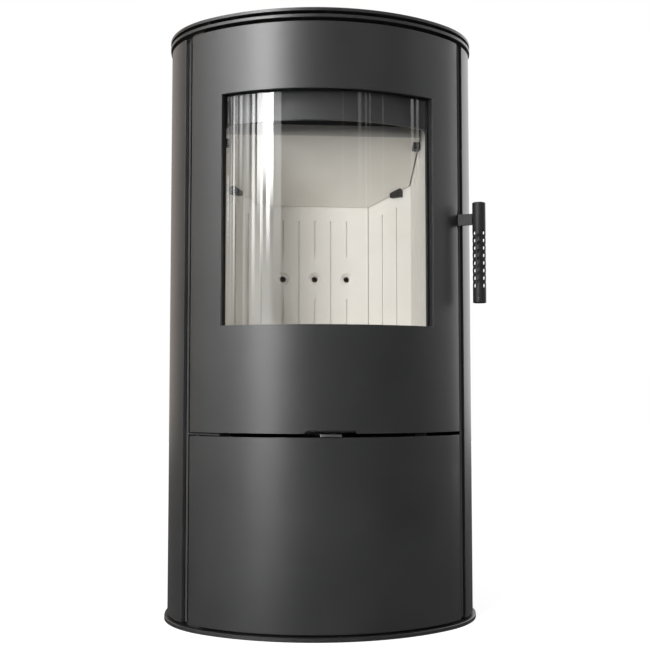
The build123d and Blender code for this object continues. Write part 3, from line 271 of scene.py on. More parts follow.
# %% [markdown]
# The upper door is a 4 mm sheet with a large window. Two details make it this stove's door: the
# shallow round relief in its right edge, where the latch arm passes, and the wide low notch in
# its bottom edge, where the air lever shows. The relief is part of a circle, so its depth at a
# height is the square root of the radius squared less the height squared, less a fixed length.
# The notch is only a few corners of the pattern.

# %% Upper door
door_s, door_sheet, edge_round = walked(50.2), 4.0, 0.5
upper_low, upper_high = 302.5, 927.0
window_s = float(straight_in(164.5, 0))
window_low, window_high = 465.5, 823.5
latch_z, relief_radius, relief_depth = 639.0, 52.0, 2.8
notch_half, notch_slope, notch_high = 39.0, 2.4, 4.6

flat_part = relief_radius - relief_depth
relief_half = math.sqrt(relief_radius ** 2 - flat_part ** 2)
rise = np.linspace(-relief_half, relief_half, 13)
relief = np.column_stack([door_s + flat_part - np.sqrt(relief_radius ** 2 - rise ** 2),
                          latch_z + rise])
notch_in, notch_top = notch_half - notch_slope, upper_low + notch_high
bottom_edge = [(-door_s, upper_low), (-notch_half, upper_low), (-notch_in, notch_top),
               (notch_in, notch_top), (notch_half, upper_low), (door_s, upper_low)]
door_pattern = np.vstack([bottom_edge, relief, [(door_s, upper_high), (-door_s, upper_high)]])
window = square(-window_s, window_s, window_low, window_high)
upper_door = bevel(sheet("upper_door_face", door_pattern, [window], 0, door_sheet,
                         "upper_door", ["upper_door_skin"]), edge_round)

# %% [markdown]
# The lower door closes the wood space. It's the same bent sheet without a window, and ends as
# far from the middle as the upper one, so that both edges line up.

# %% Lower door
body_low, lower_high = 9.5, 297.0
lower_door = bevel(sheet("lower_door_face", square(-door_s, door_s, body_low, lower_high), [],
                         0, door_sheet, "lower_door", ["lower_door_skin"]), edge_round)

# %% [markdown]
# The pane is a bent plate of ceramic glass that lies behind the door, larger than the window by
# a lap. Between the two runs a flat black seal. Both use the sheet maker. The pane gets a finer
# grid, because the mirror image in a curved face shows every flat piece of it.

# %% Pane and seal
lap, glass_in, glass_thick, seal_play = 10.0, 9.0, 4.0, 0.1
pane_edge = square(-window_s - lap, window_s + lap, window_low - lap, window_high + lap)
glass = sheet("window_pane", pane_edge, [], glass_in, glass_in + glass_thick,
              "upper_door", ["window_glass"], step=3.0)
seal = sheet("window_seal", pane_edge, [window], door_sheet + seal_play, glass_in - seal_play,
             "upper_door", ["window_gasket"])

# %% [markdown]
# Behind the door stands the firebox's own steel front, seen through the glass as a curved band.
# Its two openings, for the fire and for the ash pan, are cut straight in from the front, as a
# cutter would do it on the bent plate. So their corners are drawn in plain millimetres and then
# turned into walked lengths.

# %% Firebox front
front_in, front_thick, front_round = 30.0, 4.0, 0.6
front_s, front_low, front_high = walked(71.4), 306.0, 893.0
fire_half, fire_low, fire_high, fire_corner = 161.0, 447.0, 782.0, 8.0
ash_half, ash_low, ash_high, ash_corner = 125.0, 321.0, 408.0, 4.0
openings = [rounded(-fire_half, fire_half, fire_low, fire_high, fire_corner),
            rounded(-ash_half, ash_half, ash_low, ash_high, ash_corner)]
cuts = [np.column_stack([straight_in(loop[:, 0], front_in), loop[:, 1]]) for loop in openings]
front_plate = bevel(sheet("firebox_front", square(-front_s, front_s, front_low, front_high),
                          cuts, front_in, front_in + front_thick, "stove", ["front_plate"]),
                    front_round)

# %% [markdown]
# A side sheet wraps from a folded lip beside the doors round to the back panel. It has the same
# section at every height, so it's a profile carried straight up. The profile is a thin closed
# loop: out along the oval, back along the sheet's inner face, and round the lip. The left sheet
# is the right one mirrored.

# %% Faces between rings
def around(index):
    """Quads between rings of point numbers, closed both along the rings and from last to first."""
    ahead = np.roll(index, -1, 1)
    return np.stack([index, ahead, np.roll(ahead, -1, 0), np.roll(index, -1, 0)],
                    -1).reshape(-1, 4)


# %% Side sheets
lip_s, back_s = walked(56.6), walked(150.09)
sheet_thick, lip_wide, lip_deep, lip_cut = 2.0, 2.0, 6.0, 3.0


def side_sheet(name, side, node):
    """A side sheet: the plan's profile, mirrored for side -1, carried from bottom to top."""
    s = np.linspace(lip_s, back_s, 90)
    outer = np.column_stack(plan(s, 0.0))
    inner = np.column_stack(plan(s[::-1], sheet_thick))
    inner = inner[np.hypot(*(inner - outer[0]).T) > lip_cut]
    lip = np.column_stack(plan(np.array([lip_s + lip_wide] * 2 + [lip_s] * 2),
                               np.array([sheet_thick, lip_deep, lip_deep, lip_cut])))
    profile = np.vstack([outer, inner, lip]) * (side, 1)
    ring = np.arange(len(profile))
    points = np.vstack([np.column_stack([profile, np.full(len(ring), z)])
                        for z in (body_low, upper_high)])
    walls = around(np.stack([ring, ring + len(ring)]))[:len(ring)]
    faces = walls.tolist() + [ring[::-1].tolist(), (ring + len(ring)).tolist()]
    return bevel(make(name, points, faces, "stove", [node]), edge_round)


sides = [side_sheet("left_side_sheet", -1, "left_shell"),
         side_sheet("right_side_sheet", 1, "right_shell")]

# %% [markdown]
# Two plates lie on top, one over the other with a dark gap between, and both stand out a little
# past the oval. The flue collar comes up through a round hole. A plate is a square profile
# carried round: four rings of points, two on the oval and two on the hole's circle, that run in
# step. No cutting is needed, and the faces stay even.

# %% Top plates
flue_y, hole_radius, overhang, steps_round = 72.0, 78.5, 2.5, 360
top_low, top_thick, top_gap = 932.0, 5.0, 5.0
around_oval = np.linspace(-half_round, half_round, steps_round, endpoint=False)
oval_edge = np.column_stack(plan(around_oval, -overhang))
turns = -math.pi / 2 + np.linspace(-math.pi, math.pi, steps_round, endpoint=False)
hole_edge = hole_radius * np.column_stack([np.cos(turns), np.sin(turns)]) + (0.0, flue_y)


def top_disc(name, z0, node):
    """A flat plate: the profile's four corners, each carried round its own edge."""
    z1 = z0 + top_thick
    points = np.vstack([np.column_stack([edge, np.full(steps_round, z)]) for edge, z in
                        ((oval_edge, z0), (oval_edge, z1), (hole_edge, z1), (hole_edge, z0))])
    faces = around(np.arange(4 * steps_round).reshape(4, -1)).tolist()
    return bevel(make(name, points, faces, "stove", [node]), edge_round)


plates = [top_disc("top_disc", top_low, "top_plate"),
          top_disc("cover_disc", top_low + top_thick + top_gap, "top_cover")]

# %% [markdown]
# The handle is a tube with rows of round holes that keep it cool. Cutting holes with a boolean
# leaves long thin faces that shade badly. Here the tube's surface is laid out in cells instead,
# eight columns round it, and neighbours half a cell apart. A cell is three rings of twelve
# places: the cell's rim, a ring between, and the hole. The hole's places lie on the rays from the
# middle to the rim's places, so no face gets twisted.

# %% Handle: one cell
pivot_x, pivot_y = 199.3746, -95.1326
arm_turn, arm_long = math.radians(-29.7), 50.0
handle_x = pivot_x + arm_long * math.cos(arm_turn)
handle_y = pivot_y + arm_long * math.sin(arm_turn)
handle_radius, handle_wall, core_radius, small_hole = 10.5, 1.5, 6.2, 3.7
columns, hole_rows, pitch, first_z, first_turn = 8, 8, 12.0, 532.5, 30.0
column_wide = handle_radius * 2 * math.pi / columns

rim = np.array([(-2, -2), (-1, -2), (0, -2), (1, -2), (2, -2), (2, 0),
                (2, 2), (1, 2), (0, 2), (-1, 2), (-2, 2), (-2, 0)]) * (0.25, pitch / 4)
ray = np.arctan2(rim[:, 1], rim[:, 0] * column_wide)
hole = small_hole * np.column_stack([np.cos(ray) / column_wide, np.sin(ray)])
cell = np.stack([rim, (rim + 2 * hole) / 3, hole])
print("cell", round(column_wide, 2), "by", pitch, "mm")


# %% Handle: laying cells round the tube
def on_tube(u, z, radius):
    """Place in column u at height z: the tube's middle plus the radius times cosine and sine."""
    u, z, radius = np.broadcast_arrays(u, z, radius)
    turn = np.radians(first_turn - 90 + 360 / columns * u)
    return np.stack([handle_x + radius * np.cos(turn), handle_y + radius * np.sin(turn), z], -1)


def bands(rings):
    """Quads between neighbouring rings of places, each ring closed."""
    here, there = rings[..., :-1, :, :], rings[..., 1:, :, :]
    return np.stack([here, np.roll(here, -1, -2), np.roll(there, -1, -2), there],
                    -2).reshape(-1, 4, 3)


column, row = np.meshgrid(np.arange(columns), np.arange(hole_rows), indexing="ij")
odd = column % 2
middles = np.stack([column, first_z + (row + odd / 2) * pitch], -1)[row < hole_rows - odd]
u, z = np.moveaxis(middles[:, None, None] + cell, -1, 0)
outside, inside = on_tube(u, z, handle_radius), on_tube(u, z, handle_radius - handle_wall)
holed = [bands(outside), bands(inside)[:, ::-1], bands(np.stack([outside[:, 2], inside[:, 2]], 1))]
print("holes", len(middles))

# %% [markdown]
# Above and below the holes the tube is plain, with a small chamfer at each tip. That part is a
# profile of radius and height carried round: up the outside, over the tip and down the bore. The
# odd columns start half a cell late, so a short plain row fills them up.

# %% Handle: plain ends
tip_low, tip_high, chamfer = 505.0, 665.0, 1.0
bore = handle_radius - handle_wall
holes_low = first_z - pitch / 2
holes_high = holes_low + hole_rows * pitch
quarters = np.arange(4 * columns) / 4


def plain_end(marks, tip):
    """Rings of a plain end, from the holes' edge over the tip and back along the bore."""
    profile = np.vstack([np.column_stack([np.full(len(marks), handle_radius), marks]),
                         [(handle_radius - chamfer, tip), (bore, tip)],
                         np.column_stack([np.full(len(marks), bore), marks[::-1]])])
    return on_tube(quarters, profile[:, 1, None], profile[:, 0, None])


foot, neck = tip_low + chamfer, tip_high - chamfer
low_marks = np.append(np.arange(holes_low, foot, -pitch / 2), foot)
high_marks = np.append(np.arange(holes_high, neck, pitch / 2), neck)
ends = [bands(plain_end(low_marks, tip_low)[::-1]), bands(plain_end(high_marks, tip_high))]
left_u = (np.arange(1, columns, 2)[:, None] + np.array([-0.5, -0.25, 0.0, 0.25])).reshape(1, -1, 1)
low_z = np.array([holes_low, holes_high - pitch / 2]).reshape(-1, 1, 1)
fill_u = left_u + np.array([0.0, 0.25, 0.25, 0.0])
fill_z = low_z + np.array([0.0, 0.0, pitch / 2, pitch / 2])
fills = [on_tube(fill_u, fill_z, handle_radius).reshape(-1, 4, 3),
         on_tube(fill_u, fill_z, bore).reshape(-1, 4, 3)[:, ::-1]]
print("plain quads", sum(map(len, ends + fills)))

# %% [markdown]
# All quads are now one long array, in which neighbours repeat their shared corners. Finding the
# places that are the same, to a ten thousandth of a millimetre, joins them into one closed skin.
# A plain rod stands inside the tube. It closes the view through the holes, which look nearly
# black in a real handle.

# %% Handle
quads = np.concatenate(holed + ends + fills)
corners = quads.reshape(-1, 3)
_, chosen, faces = np.unique(np.round(corners, 4), axis=0, return_index=True,
                             return_inverse=True)
skin = corners[chosen]
rod_sides, rod_short = 24, 0.5
rod_turns = np.linspace(0, 2 * math.pi, rod_sides, endpoint=False)
rod = np.vstack([np.column_stack([handle_x + core_radius * np.cos(rod_turns),
                                  handle_y + core_radius * np.sin(rod_turns),
                                  np.full(rod_sides, level)])
                 for level in (tip_low + rod_short, tip_high - rod_short)])
foot_ring = len(skin) + np.arange(rod_sides)
head_ring = foot_ring + rod_sides
rod_walls = around(np.stack([foot_ring, head_ring]))[:rod_sides]
tube = make("handle_grip", np.vstack([skin, rod]),
            faces.reshape(-1, 4).tolist() + rod_walls.tolist()
            + [foot_ring[::-1].tolist(), head_ring.tolist()],
            "latch", ["handle_tube"], smooth=35)

# %% [markdown]
# The other pieces keep the frame's shapes, and a few that catch the light get a small round on
# their edges. A CAD mesh is loose triangles, so a weld joins them first. The linings get none:
# round their air holes a bevel leaves star-shaped marks.

# %% Edges of the frame's own pieces
soft_edges = {"latch_arm": 0.6, "air_lever": 0.4, "baffle": 1.0, "log_retainer": 0.8,
              "left_upright": 0.4, "right_upright": 0.4, "flue_collar": 0.4}
for name, width in soft_edges.items():
    bevel(nodes[name], width, weld=True, harden=False)
print("softened", len(soft_edges))


# %% [markdown]
# Every finish below is a handful of shader nodes. They all read Object coordinates, so a pattern
# has its true size in metres and stays on its piece when a door swings. One short helper adds a
# node and fills its sockets, and the finishes then read like a list.

# %% Shader helpers
def node(tree, kind, sockets, **settings):
    """Adds a node. A socket gets a value, or is linked where another node's output is given."""
    new = tree.nodes.new(kind)
    for key, value in settings.items():
        setattr(new, key, value)
    for key, value in sockets.items():
        if isinstance(value, bpy.types.NodeSocket):
            tree.links.new(value, new.inputs[key])
        else:
            new.inputs[key].default_value = value
    return new


def sum_of(tree, operation, first, second, **settings):
    """One step of arithmetic on two numbers or outputs."""
    return node(tree, "ShaderNodeMath", {0: first, 1: second}, operation=operation,
                **settings).outputs[0]


def between(tree, factor, first, second):
    """A colour between two, each an RGB value or an output."""
    pair = [c if isinstance(c, bpy.types.NodeSocket) else (*c, 1) for c in (first, second)]
    return node(tree, "ShaderNodeMix", {"Factor": factor, 6: pair[0], 7: pair[1]},
                data_type="RGBA").outputs[2]


def ramp(tree, value, low, high, out_low, out_high, **settings):
    """Carries a value from one range over to another."""
    return node(tree, "ShaderNodeMapRange",
                {"Value": value, "From Min": low, "From Max": high,
                 "To Min": out_low, "To Max": out_high}, **settings).outputs["Result"]


# %% Noise and relief
def material(name):
    """A new material, its tree and its main shader."""
    new = bpy.data.materials.new(name)
    new.use_nodes = True
    return new, new.node_tree, new.node_tree.nodes["Principled BSDF"]


def noise(tree, scale, detail=4.0, rough=0.6, stretch=(1, 1, 1)):
    """Noise in object coordinates, stretched along the axes."""
    place = tree.nodes.new("ShaderNodeTexCoord")
    mapped = node(tree, "ShaderNodeMapping", {"Vector": place.outputs["Object"],
                                              "Scale": stretch})
    return node(tree, "ShaderNodeTexNoise", {"Vector": mapped.outputs["Vector"], "Scale": scale,
                                             "Detail": detail, "Roughness": rough}).outputs["Fac"]


def relief_of(tree, shader, height, strength, distance):
    """Fine relief on a shader from a height."""
    raised = node(tree, "ShaderNodeBump", {"Strength": strength, "Distance": distance,
                                           "Height": height})
    tree.links.new(raised.outputs["Normal"], shader.inputs["Normal"])


# %% [markdown]
# The stove wears a heat resistant satin paint, almost black. Sprayed paint isn't even: it has a
# fine grain that spreads the highlights, and slow cloudy patches where the coat is thicker. Two
# noises give both. The uprights are half metallic, and their paler colour is a painted highlight
# for the bright strip that light from the left puts on their faces. What lies inside is duller.

# %% Paints
def painted(name, dark, light, metallic=0.0, rough=(0.34, 0.40), shine=1.0):
    """Satin paint: cloudy variation between two greys, a fine grain and a faint orange peel."""
    paint, tree, shader = material(name)
    cloud, grain = noise(tree, 9.0, 3.0), noise(tree, 650.0, 2.0, 0.7)
    tree.links.new(between(tree, ramp(tree, cloud, 0.35, 0.65, 0.0, 1.0), dark, light),
                   shader.inputs["Base Color"])
    tree.links.new(ramp(tree, grain, 0.3, 0.7, *rough), shader.inputs["Roughness"])
    shader.inputs["Metallic"].default_value = metallic
    shader.inputs["Specular IOR Level"].default_value = shine
    relief_of(tree, shader, grain, 0.2, 0.0002)
    return paint


stove_paint = painted("stove_paint", (0.0169, 0.017, 0.0172), (0.0227, 0.0228, 0.0230))
handle_paint = painted("handle_paint", (0.017, 0.017, 0.0175), (0.024, 0.024, 0.0243),
                       0.0, (0.38, 0.46), 0.3)
# the uprights' paler base colour is a painted highlight, the bright strip of light on their faces
upright_highlight_paint = painted("upright_highlight_paint", (0.09, 0.09, 0.09), (0.12, 0.12, 0.12),
                        0.5, (0.28, 0.34))
firebox_paint = painted("firebox_paint", (0.028, 0.028, 0.0285), (0.036, 0.036, 0.0365),
                        0.0, (0.50, 0.58))
inside_paint = painted("inside_paint", (0.020, 0.020, 0.0205), (0.030, 0.030, 0.030),
                       0.0, (0.5, 0.6), 0.4)
iron = painted("cast_iron_rough", (0.02, 0.02, 0.02), (0.045, 0.043, 0.04), 0.4, (0.55, 0.75))
print("materials so far, with the frame's own", len(bpy.data.materials))

# %% [markdown]
# The firebox is lined with pressed vermiculite board, pale and sandy. A fine speckle, soft stains
# and a little relief make it. Where the back board meets its neighbours, the shade in the narrow
# gap between them is painted as a thin dark line. The frame's boards fit too closely there for a
# gap to show, so this painted shade is drawn in the finish, where the distance from the middle
# passes the joint.

# %% Lining boards
board_dark, board_light = (0.79, 0.765, 0.70), (0.92, 0.903, 0.862)
# colour and widths of the painted shade line in the gap at the back board's joint
gap_shade_colour, gap_shade_starts, gap_shade_full = (0.20, 0.16, 0.11), 0.0018, 0.0008
joint_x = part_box("rear_right_lining")[0][0]


def board(name, joint=None):
    """Vermiculite: half of the speckle is added to the stains, and the sum picks the colour."""
    lining, tree, shader = material(name)
    speckle, stain = noise(tree, 420.0, 4.0, 0.75), noise(tree, 12.0, 3.0, 0.6)
    sandy = node(tree, "ShaderNodeMath",
                 {0: speckle, 1: 0.5, 2: ramp(tree, stain, 0.3, 0.7, 0.14, 0.32)},
                 operation="MULTIPLY_ADD").outputs[0]
    colour = between(tree, ramp(tree, sandy, 0.25, 0.75, 0.0, 1.0), board_dark, board_light)
    # painted shade: near the joint the colour darkens to the shade of the gap between the boards
    if joint:
        place = tree.nodes.new("ShaderNodeTexCoord")
        apart = node(tree, "ShaderNodeSeparateXYZ", {0: place.outputs["Object"]})
        across = sum_of(tree, "ABSOLUTE", apart.outputs[0], 0.0)
        line = ramp(tree, across, joint - gap_shade_starts, joint - gap_shade_full, 0.0, 0.85)
        colour = between(tree, line, colour, gap_shade_colour)
    tree.links.new(colour, shader.inputs["Base Color"])
    shader.inputs["Roughness"].default_value = 0.9
    relief_of(tree, shader, speckle, 0.4, 0.0006)
    return lining


vermiculite, back_board = board("vermiculite"), board("back_vermiculite", joint_x)
print("joint at", round(joint_x, 4), "m")


# %% [markdown]
# Hidden sheets are plated or bare steel. Rolling leaves fine lines in such sheet, so the noise is
# stretched along one axis, and it changes both the tone and the roughness a little.

# %% Steel
def steel(name, tone, rough):
    """Drawn steel: noise squeezed along Z makes lines, in tone and in roughness."""
    metal, tree, shader = material(name)
    lines = noise(tree, 60.0, 4.0, 0.7, (1, 1, 60))
    tree.links.new(between(tree, lines, tuple(c * 0.85 for c in tone), tone),
                   shader.inputs["Base Color"])
    tree.links.new(ramp(tree, lines, 0.3, 0.7, rough - 0.06, rough + 0.08),
                   shader.inputs["Roughness"])
    shader.inputs["Metallic"].default_value = 1.0
    return metal


zinc = steel("zinc_sheet", (0.55, 0.56, 0.57), 0.42)
bare = steel("bare_steel", (0.42, 0.42, 0.43), 0.35)
print("steels", zinc.name, bare.name)

# %% [markdown]
# The door closes on a black rope of glass fibre. At this size its weave is only a rough, dark
# surface, so strong fine noise is enough, and no fibre has to be modelled.

# %% Rope
rope, rope_tree, rope_shader = material("black_rope")
weave = noise(rope_tree, 700.0, 3.0, 0.8)
rope_tree.links.new(between(rope_tree, weave, (0.006, 0.006, 0.006), (0.03, 0.03, 0.03)),
                    rope_shader.inputs["Base Color"])
rope_shader.inputs["Roughness"].default_value = 0.95
relief_of(rope_tree, rope_shader, weave, 0.8, 0.001)
print("rope", rope.name)

# %% [markdown]
# The pane is clear, and mirrors the room more the flatter one looks along it. A real glass shader
# would bend the light and let the lamps through only as noisy caustics. A mix of a transparent
# and a mirror-like shader stays clean. Fresnel gives the mirror's share, a little over twice,
# for the pane's two faces. On back faces it would turn into a full mirror, so it's left out there.

# %% Glass
pane, pane_tree, pane_shader = material("window_glass")
two_faces = 2.2
clear = node(pane_tree, "ShaderNodeBsdfTransparent", {"Color": (0.985, 0.985, 0.985, 1)})
smudge = ramp(pane_tree, noise(pane_tree, 9.0, 3.0), 0.35, 0.75, 0.0, 0.035)
mirror = node(pane_tree, "ShaderNodeBsdfGlossy", {"Roughness": smudge})
bounce = node(pane_tree, "ShaderNodeFresnel", {"IOR": 1.5})
facing = pane_tree.nodes.new("ShaderNodeNewGeometry")
outer_only = sum_of(pane_tree, "SUBTRACT", 1.0, facing.outputs["Backfacing"])
share = sum_of(pane_tree, "MULTIPLY", bounce.outputs[0], outer_only)
share = sum_of(pane_tree, "MULTIPLY", share, two_faces, use_clamp=True)
glazed = node(pane_tree, "ShaderNodeMixShader", {0: share, 1: clear.outputs[0],
                                                 2: mirror.outputs[0]})
pane_tree.links.new(glazed.outputs[0], pane_tree.nodes["Material Output"].inputs["Surface"])
pane_tree.nodes.remove(pane_shader)
print("materials", len(bpy.data.materials))


# %% [markdown]
# The frame's record names a material slot for each node, so one loop dresses the stove. A few
# nodes then get a duller or paler coat than their slot's, because they lie in the dark or are
# made of another sheet. The uprights' paler coat is a painted highlight.

# %% Dressing the frame's pieces
def dress(obj, finish):
    """Gives a piece one material."""
    obj.data.materials.clear()
    obj.data.materials.append(finish)


by_slot = {"stove_paint": stove_paint, "window_glass": pane, "vermiculite": vermiculite,
           "cast_iron": iron, "black_rope": rope, "zinc_sheet": zinc, "bare_steel": bare}
for part in frame["record"]["subparts"]:
    dress(nodes[part["node"]], by_slot[part["material_slot"]])
by_node = {inside_paint: ("upper_door_pan", "lower_door_pan", "firebox_body", "ash_compartment",
                          "floor_plate", "plinth_ring", "top_frame", "neck_ring",
                          "bottom_hinge_bracket", "middle_hinge_bracket", "top_hinge_bracket",
                          "upper_hinge_blocks", "lower_hinge_blocks"),
           # the back board's finish paints the shade in the gap at its joint
           back_board: ("back_lining",), handle_paint: ("latch_arm",),
           upright_highlight_paint: ("left_upright", "right_upright"),
           iron: ("baffle_brackets", "baffle_rests")}
for finish, names in by_node.items():
    for name in names:
        dress(nodes[name], finish)

# %% Dressing the new pieces
new_pieces = [(obj, stove_paint, "stove_paint")
              for obj in (upper_door, lower_door, *sides, *plates)]
new_pieces += [(tube, handle_paint, "stove_paint"), (front_plate, firebox_paint, "stove_paint"),
               (glass, pane, "window_glass"), (seal, rope, "black_rope")]
for obj, finish, name in new_pieces:
    dress(obj, finish)
print("new pieces", len(new_pieces))

# %% [markdown]
# The camera stands low, to the left of the stove, and looks slightly up. Its place, its direction
# and its lens were fitted to the edges that the photograph shows, so the picture can be laid over
# it.

# %% Camera
scene = bpy.context.scene
camera_place, camera_lens = (-0.13416, -1.74605, 0.36434), 58.03
camera_forward = Vector((0.08046552, 0.99470559, 0.06392257)).normalized()
camera_data = bpy.data.cameras.new("camera")
camera_data.sensor_width = 36.0
camera_data.lens = camera_lens
camera_data.clip_end = 50.0
camera = bpy.data.objects.new("camera", camera_data)
scene.collection.objects.link(camera)
camera.matrix_world = (Matrix.Translation(camera_place)
                       @ camera_forward.to_track_quat("-Z", "Y").to_matrix().to_4x4())
scene.camera = camera
print("camera", round(Vector(camera_place).length, 3), "m from the origin")

# %% [markdown]
# The photograph has a white background, but black paint that mirrors plain white looks grey and
# flat. A studio hides that with upright softboxes and dark gaps between them. So the world shows
# white to the camera only, gives matt surfaces an even fill, and shows mirror-like rays a ring
# of softboxes. The Light Path node tells the kinds of ray apart. A direction is told by its
# compass angle from the front, positive to the right, and by its height, both in degrees.

# %% World: directions
world = bpy.data.worlds.new("studio")
scene.world = world
world.use_nodes = True
sky_tree = world.node_tree
sky = sky_tree.nodes["Background"]
degrees = 180 / math.pi
heading = sky_tree.nodes.new("ShaderNodeTexCoord")
split = node(sky_tree, "ShaderNodeSeparateXYZ", {0: heading.outputs["Generated"]})
forwards = sum_of(sky_tree, "MULTIPLY", split.outputs[1], -1.0)
compass = sum_of(sky_tree, "MULTIPLY",
                 sum_of(sky_tree, "ARCTAN2", split.outputs[0], forwards), degrees)
height = sum_of(sky_tree, "MULTIPLY",
                sum_of(sky_tree, "ARCSINE", split.outputs[2], 0.0), degrees)
compass_back = sum_of(sky_tree, "MULTIPLY", compass, -1.0)
height_down = sum_of(sky_tree, "MULTIPLY", height, -1.0)
print("sky nodes", len(sky_tree.nodes))


# %% World: one softbox
top_fade = 8.0


def softbox(start, stop, edge, power, low, full, top=60.0):
    """Radiance of a softbox: its power times four soft steps, one for each of its sides.

    It reaches from start to stop along the compass and fades over edge. It comes in between the
    heights low and full, and ends at top.
    """
    shape = power
    for value, at, fade in ((compass, start, edge), (compass_back, -stop, edge),
                            (height, low, full - low), (height_down, -top, top_fade)):
        step = ramp(sky_tree, value, at, at + fade, 0.0, 1.0, interpolation_type="SMOOTHSTEP")
        shape = sum_of(sky_tree, "MULTIPLY", step, shape)
    return shape


# %% World: the ring of softboxes
softboxes = [
    # strong streaks in the left of the pane
    (-43.8, -41.2, 0.4, 10.5, 9.0, 12.5), (-41.6, -39.4, 0.4, 11.0, 5.5, 11.5),
    (-39.8, -37.0, 0.4, 15.0, 10.5, 13.0), (-37.4, -34.6, 0.4, 16.0, 6.5, 12.0),
    (-35.0, -32.2, 0.4, 17.0, 9.5, 12.5), (-32.6, -26.8, 0.8, 2.2, 2.0, 12.0),
    # broad soft light on the doors' left and on the left side sheet
    (-51.0, -30.5, 5.0, 2.3, -45.0, -20.0, 14.0), (-112.0, -58.0, 12.0, 1.05, -40.0, 25.0),
    # streaks close to the pane's left edge and on the door beside it
    (-52.6, -48.2, 2.2, 5.0, 7.0, 15.0), (-47.8, -44.6, 1.2, 8.5, 4.0, 12.0),
    (-57.0, -53.2, 1.8, 6.5, 9.0, 16.0), (-61.4, -59.0, 1.1, 7.5, 3.0, 12.0),
    (-59.4, -57.0, 1.2, 3.5, 9.0, 15.0), (-63.6, -61.6, 0.9, 3.0, 2.0, 12.0),
    (-67.4, -64.2, 1.2, 8.0, 5.0, 14.0), (-54.0, -51.0, 1.4, 2.0, -2.0, 9.0),
    # soft light on the right, and a strong low one that makes the doors' low highlight
    (66.0, 105.0, 16.0, 0.5, -40.0, 10.0), (-42.0, -26.0, 3.0, 15.0, -16.0, -8.0, 5.0),
    # faint streaks in the right of the pane
    (13.0, 13.8, 0.3, 0.6, 6.0, 14.0), (22.8, 26.2, 1.4, 0.8, 8.0, 15.0),
    (28.2, 29.4, 0.5, 1.0, -4.0, 14.0), (31.0, 32.2, 0.5, 0.9, 8.0, 15.0),
    (40.2, 41.2, 0.4, 0.7, 6.0, 14.0), (61.2, 64.6, 1.2, 1.6, 9.0, 16.0),
    (65.6, 68.8, 1.2, 1.3, 9.0, 16.0),
    # two broad ones for the far side and the back
    (88.0, 182.0, 30.0, 1.7, -50.0, 5.0, 85.0), (-182.0, -112.0, 24.0, 0.85, -90.0, -45.0, 85.0)]
dark_room, even_fill = 0.07, 0.38
mirrored = dark_room
for sizes in softboxes:
    mirrored = sum_of(sky_tree, "ADD", softbox(*sizes), mirrored)
print("softboxes", len(softboxes))

# %% [markdown]
# The room's light is a little warmer to the left and behind. Only what mirrors it may turn warm,
# or the white background would too, so the tint is held back to mirror-like rays as well.

# %% World: who sees what
ray = sky_tree.nodes.new("ShaderNodeLightPath").outputs
seen = sum_of(sky_tree, "ADD", sum_of(sky_tree, "MULTIPLY", mirrored, ray["Is Glossy Ray"]),
              sum_of(sky_tree, "MULTIPLY", even_fill, ray["Is Diffuse Ray"]))
strength = sum_of(sky_tree, "ADD", seen, ray["Is Camera Ray"])
warm_sizes, warm_tint = (-182.0, -84.0, 16.0, 1.0, -90.0, -89.0, 89.0), (1.0, 0.90, 0.82)
warmth = sum_of(sky_tree, "MULTIPLY", softbox(*warm_sizes), ray["Is Glossy Ray"])
sky_tree.links.new(strength, sky.inputs["Strength"])
sky_tree.links.new(between(sky_tree, warmth, (1, 1, 1), warm_tint), sky.inputs["Color"])
print("sky nodes", len(sky_tree.nodes))

# %% [markdown]
# The stove stands on a white floor that runs into the background without an edge. A matt floor
# alone would be grey, so it also glows towards the camera, and only the contact shadow stays
# visible. For all other rays it's dark, or it would light the stove from below.

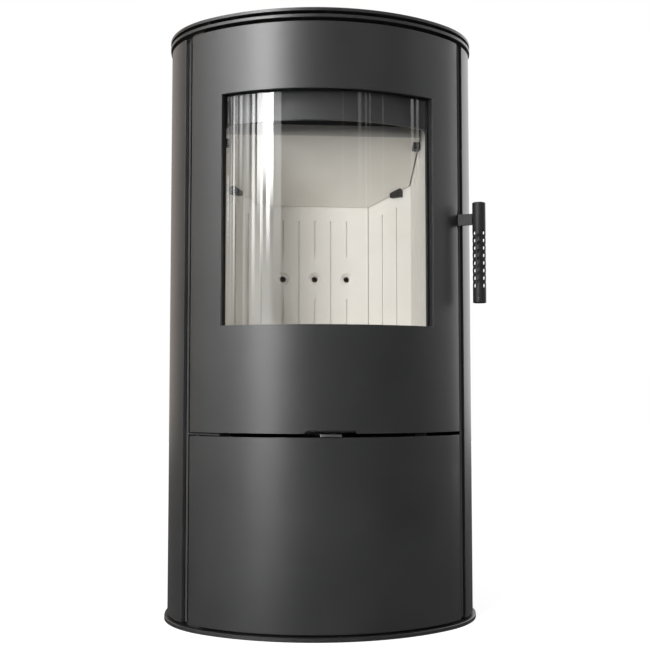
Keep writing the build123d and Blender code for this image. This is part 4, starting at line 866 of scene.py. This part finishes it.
# %% Floor
floor_half, floor_z, floor_glow = 6.0, -0.0005, 0.8
floor_dark, floor_pale = (0.12, 0.12, 0.12), (0.5, 0.5, 0.5)
floor_mesh = bpy.data.meshes.new("floor")
floor_mesh.from_pydata([(-floor_half, -floor_half, floor_z), (floor_half, -floor_half, floor_z),
                        (floor_half, floor_half, floor_z), (-floor_half, floor_half, floor_z)],
                       [], [(0, 1, 2, 3)])
floor = bpy.data.objects.new("floor", floor_mesh)
scene.collection.objects.link(floor)
white, floor_tree, matt = material("floor_white")
matt.inputs["Roughness"].default_value = 0.9
camera_ray = floor_tree.nodes.new("ShaderNodeLightPath").outputs["Is Camera Ray"]
floor_tree.links.new(between(floor_tree, camera_ray, floor_dark, floor_pale),
                     matt.inputs["Base Color"])
glow = node(floor_tree, "ShaderNodeEmission",
            {"Strength": sum_of(floor_tree, "MULTIPLY", camera_ray, floor_glow)})
lit = node(floor_tree, "ShaderNodeAddShader", {0: matt.outputs[0], 1: glow.outputs[0]})
floor_tree.links.new(lit.outputs[0], floor_tree.nodes["Material Output"].inputs["Surface"])
dress(floor, white)
print("floor", 2 * floor_half, "m wide")


# %% [markdown]
# Matt surfaces, most of all the pale linings, are lit by two square lamps: a key from the left
# and a weak fill from the right. Both are hidden from mirror-like rays, since the softboxes stand
# for them there. A lamp's watts follow from the brightness wanted, which falls with the square
# of the distance.

# %% Lamps
def lamp(name, compass_angle, distance, z, aim, width, level):
    """A square lamp that gives a white surface at aim a brightness of level.

    Its power is the level times pi squared times the distance squared.
    """
    turn = math.radians(compass_angle)
    place = Vector((distance * math.sin(turn), -distance * math.cos(turn), z))
    towards = Vector(aim) - place
    data = bpy.data.lights.new(name, "AREA")
    data.shape = "SQUARE"
    data.size = width
    data.energy = level * math.pi ** 2 * towards.length ** 2
    obj = bpy.data.objects.new(name, data)
    obj.location = place
    obj.rotation_euler = towards.to_track_quat("-Z", "Y").to_euler()
    obj.visible_glossy = False
    scene.collection.objects.link(obj)
    return data


stove_middle = (0, 0, 0.6)
key = lamp("key", -31.0, 2.6, 0.85, stove_middle, 0.8, 0.86)
fill = lamp("fill", 14.0, 3.0, 0.5, stove_middle, 1.2, 0.18)
scene.view_settings.view_transform = "Standard"
scene.view_settings.look = "None"
print("lamps", round(key.energy, 1), round(fill.energy, 1))
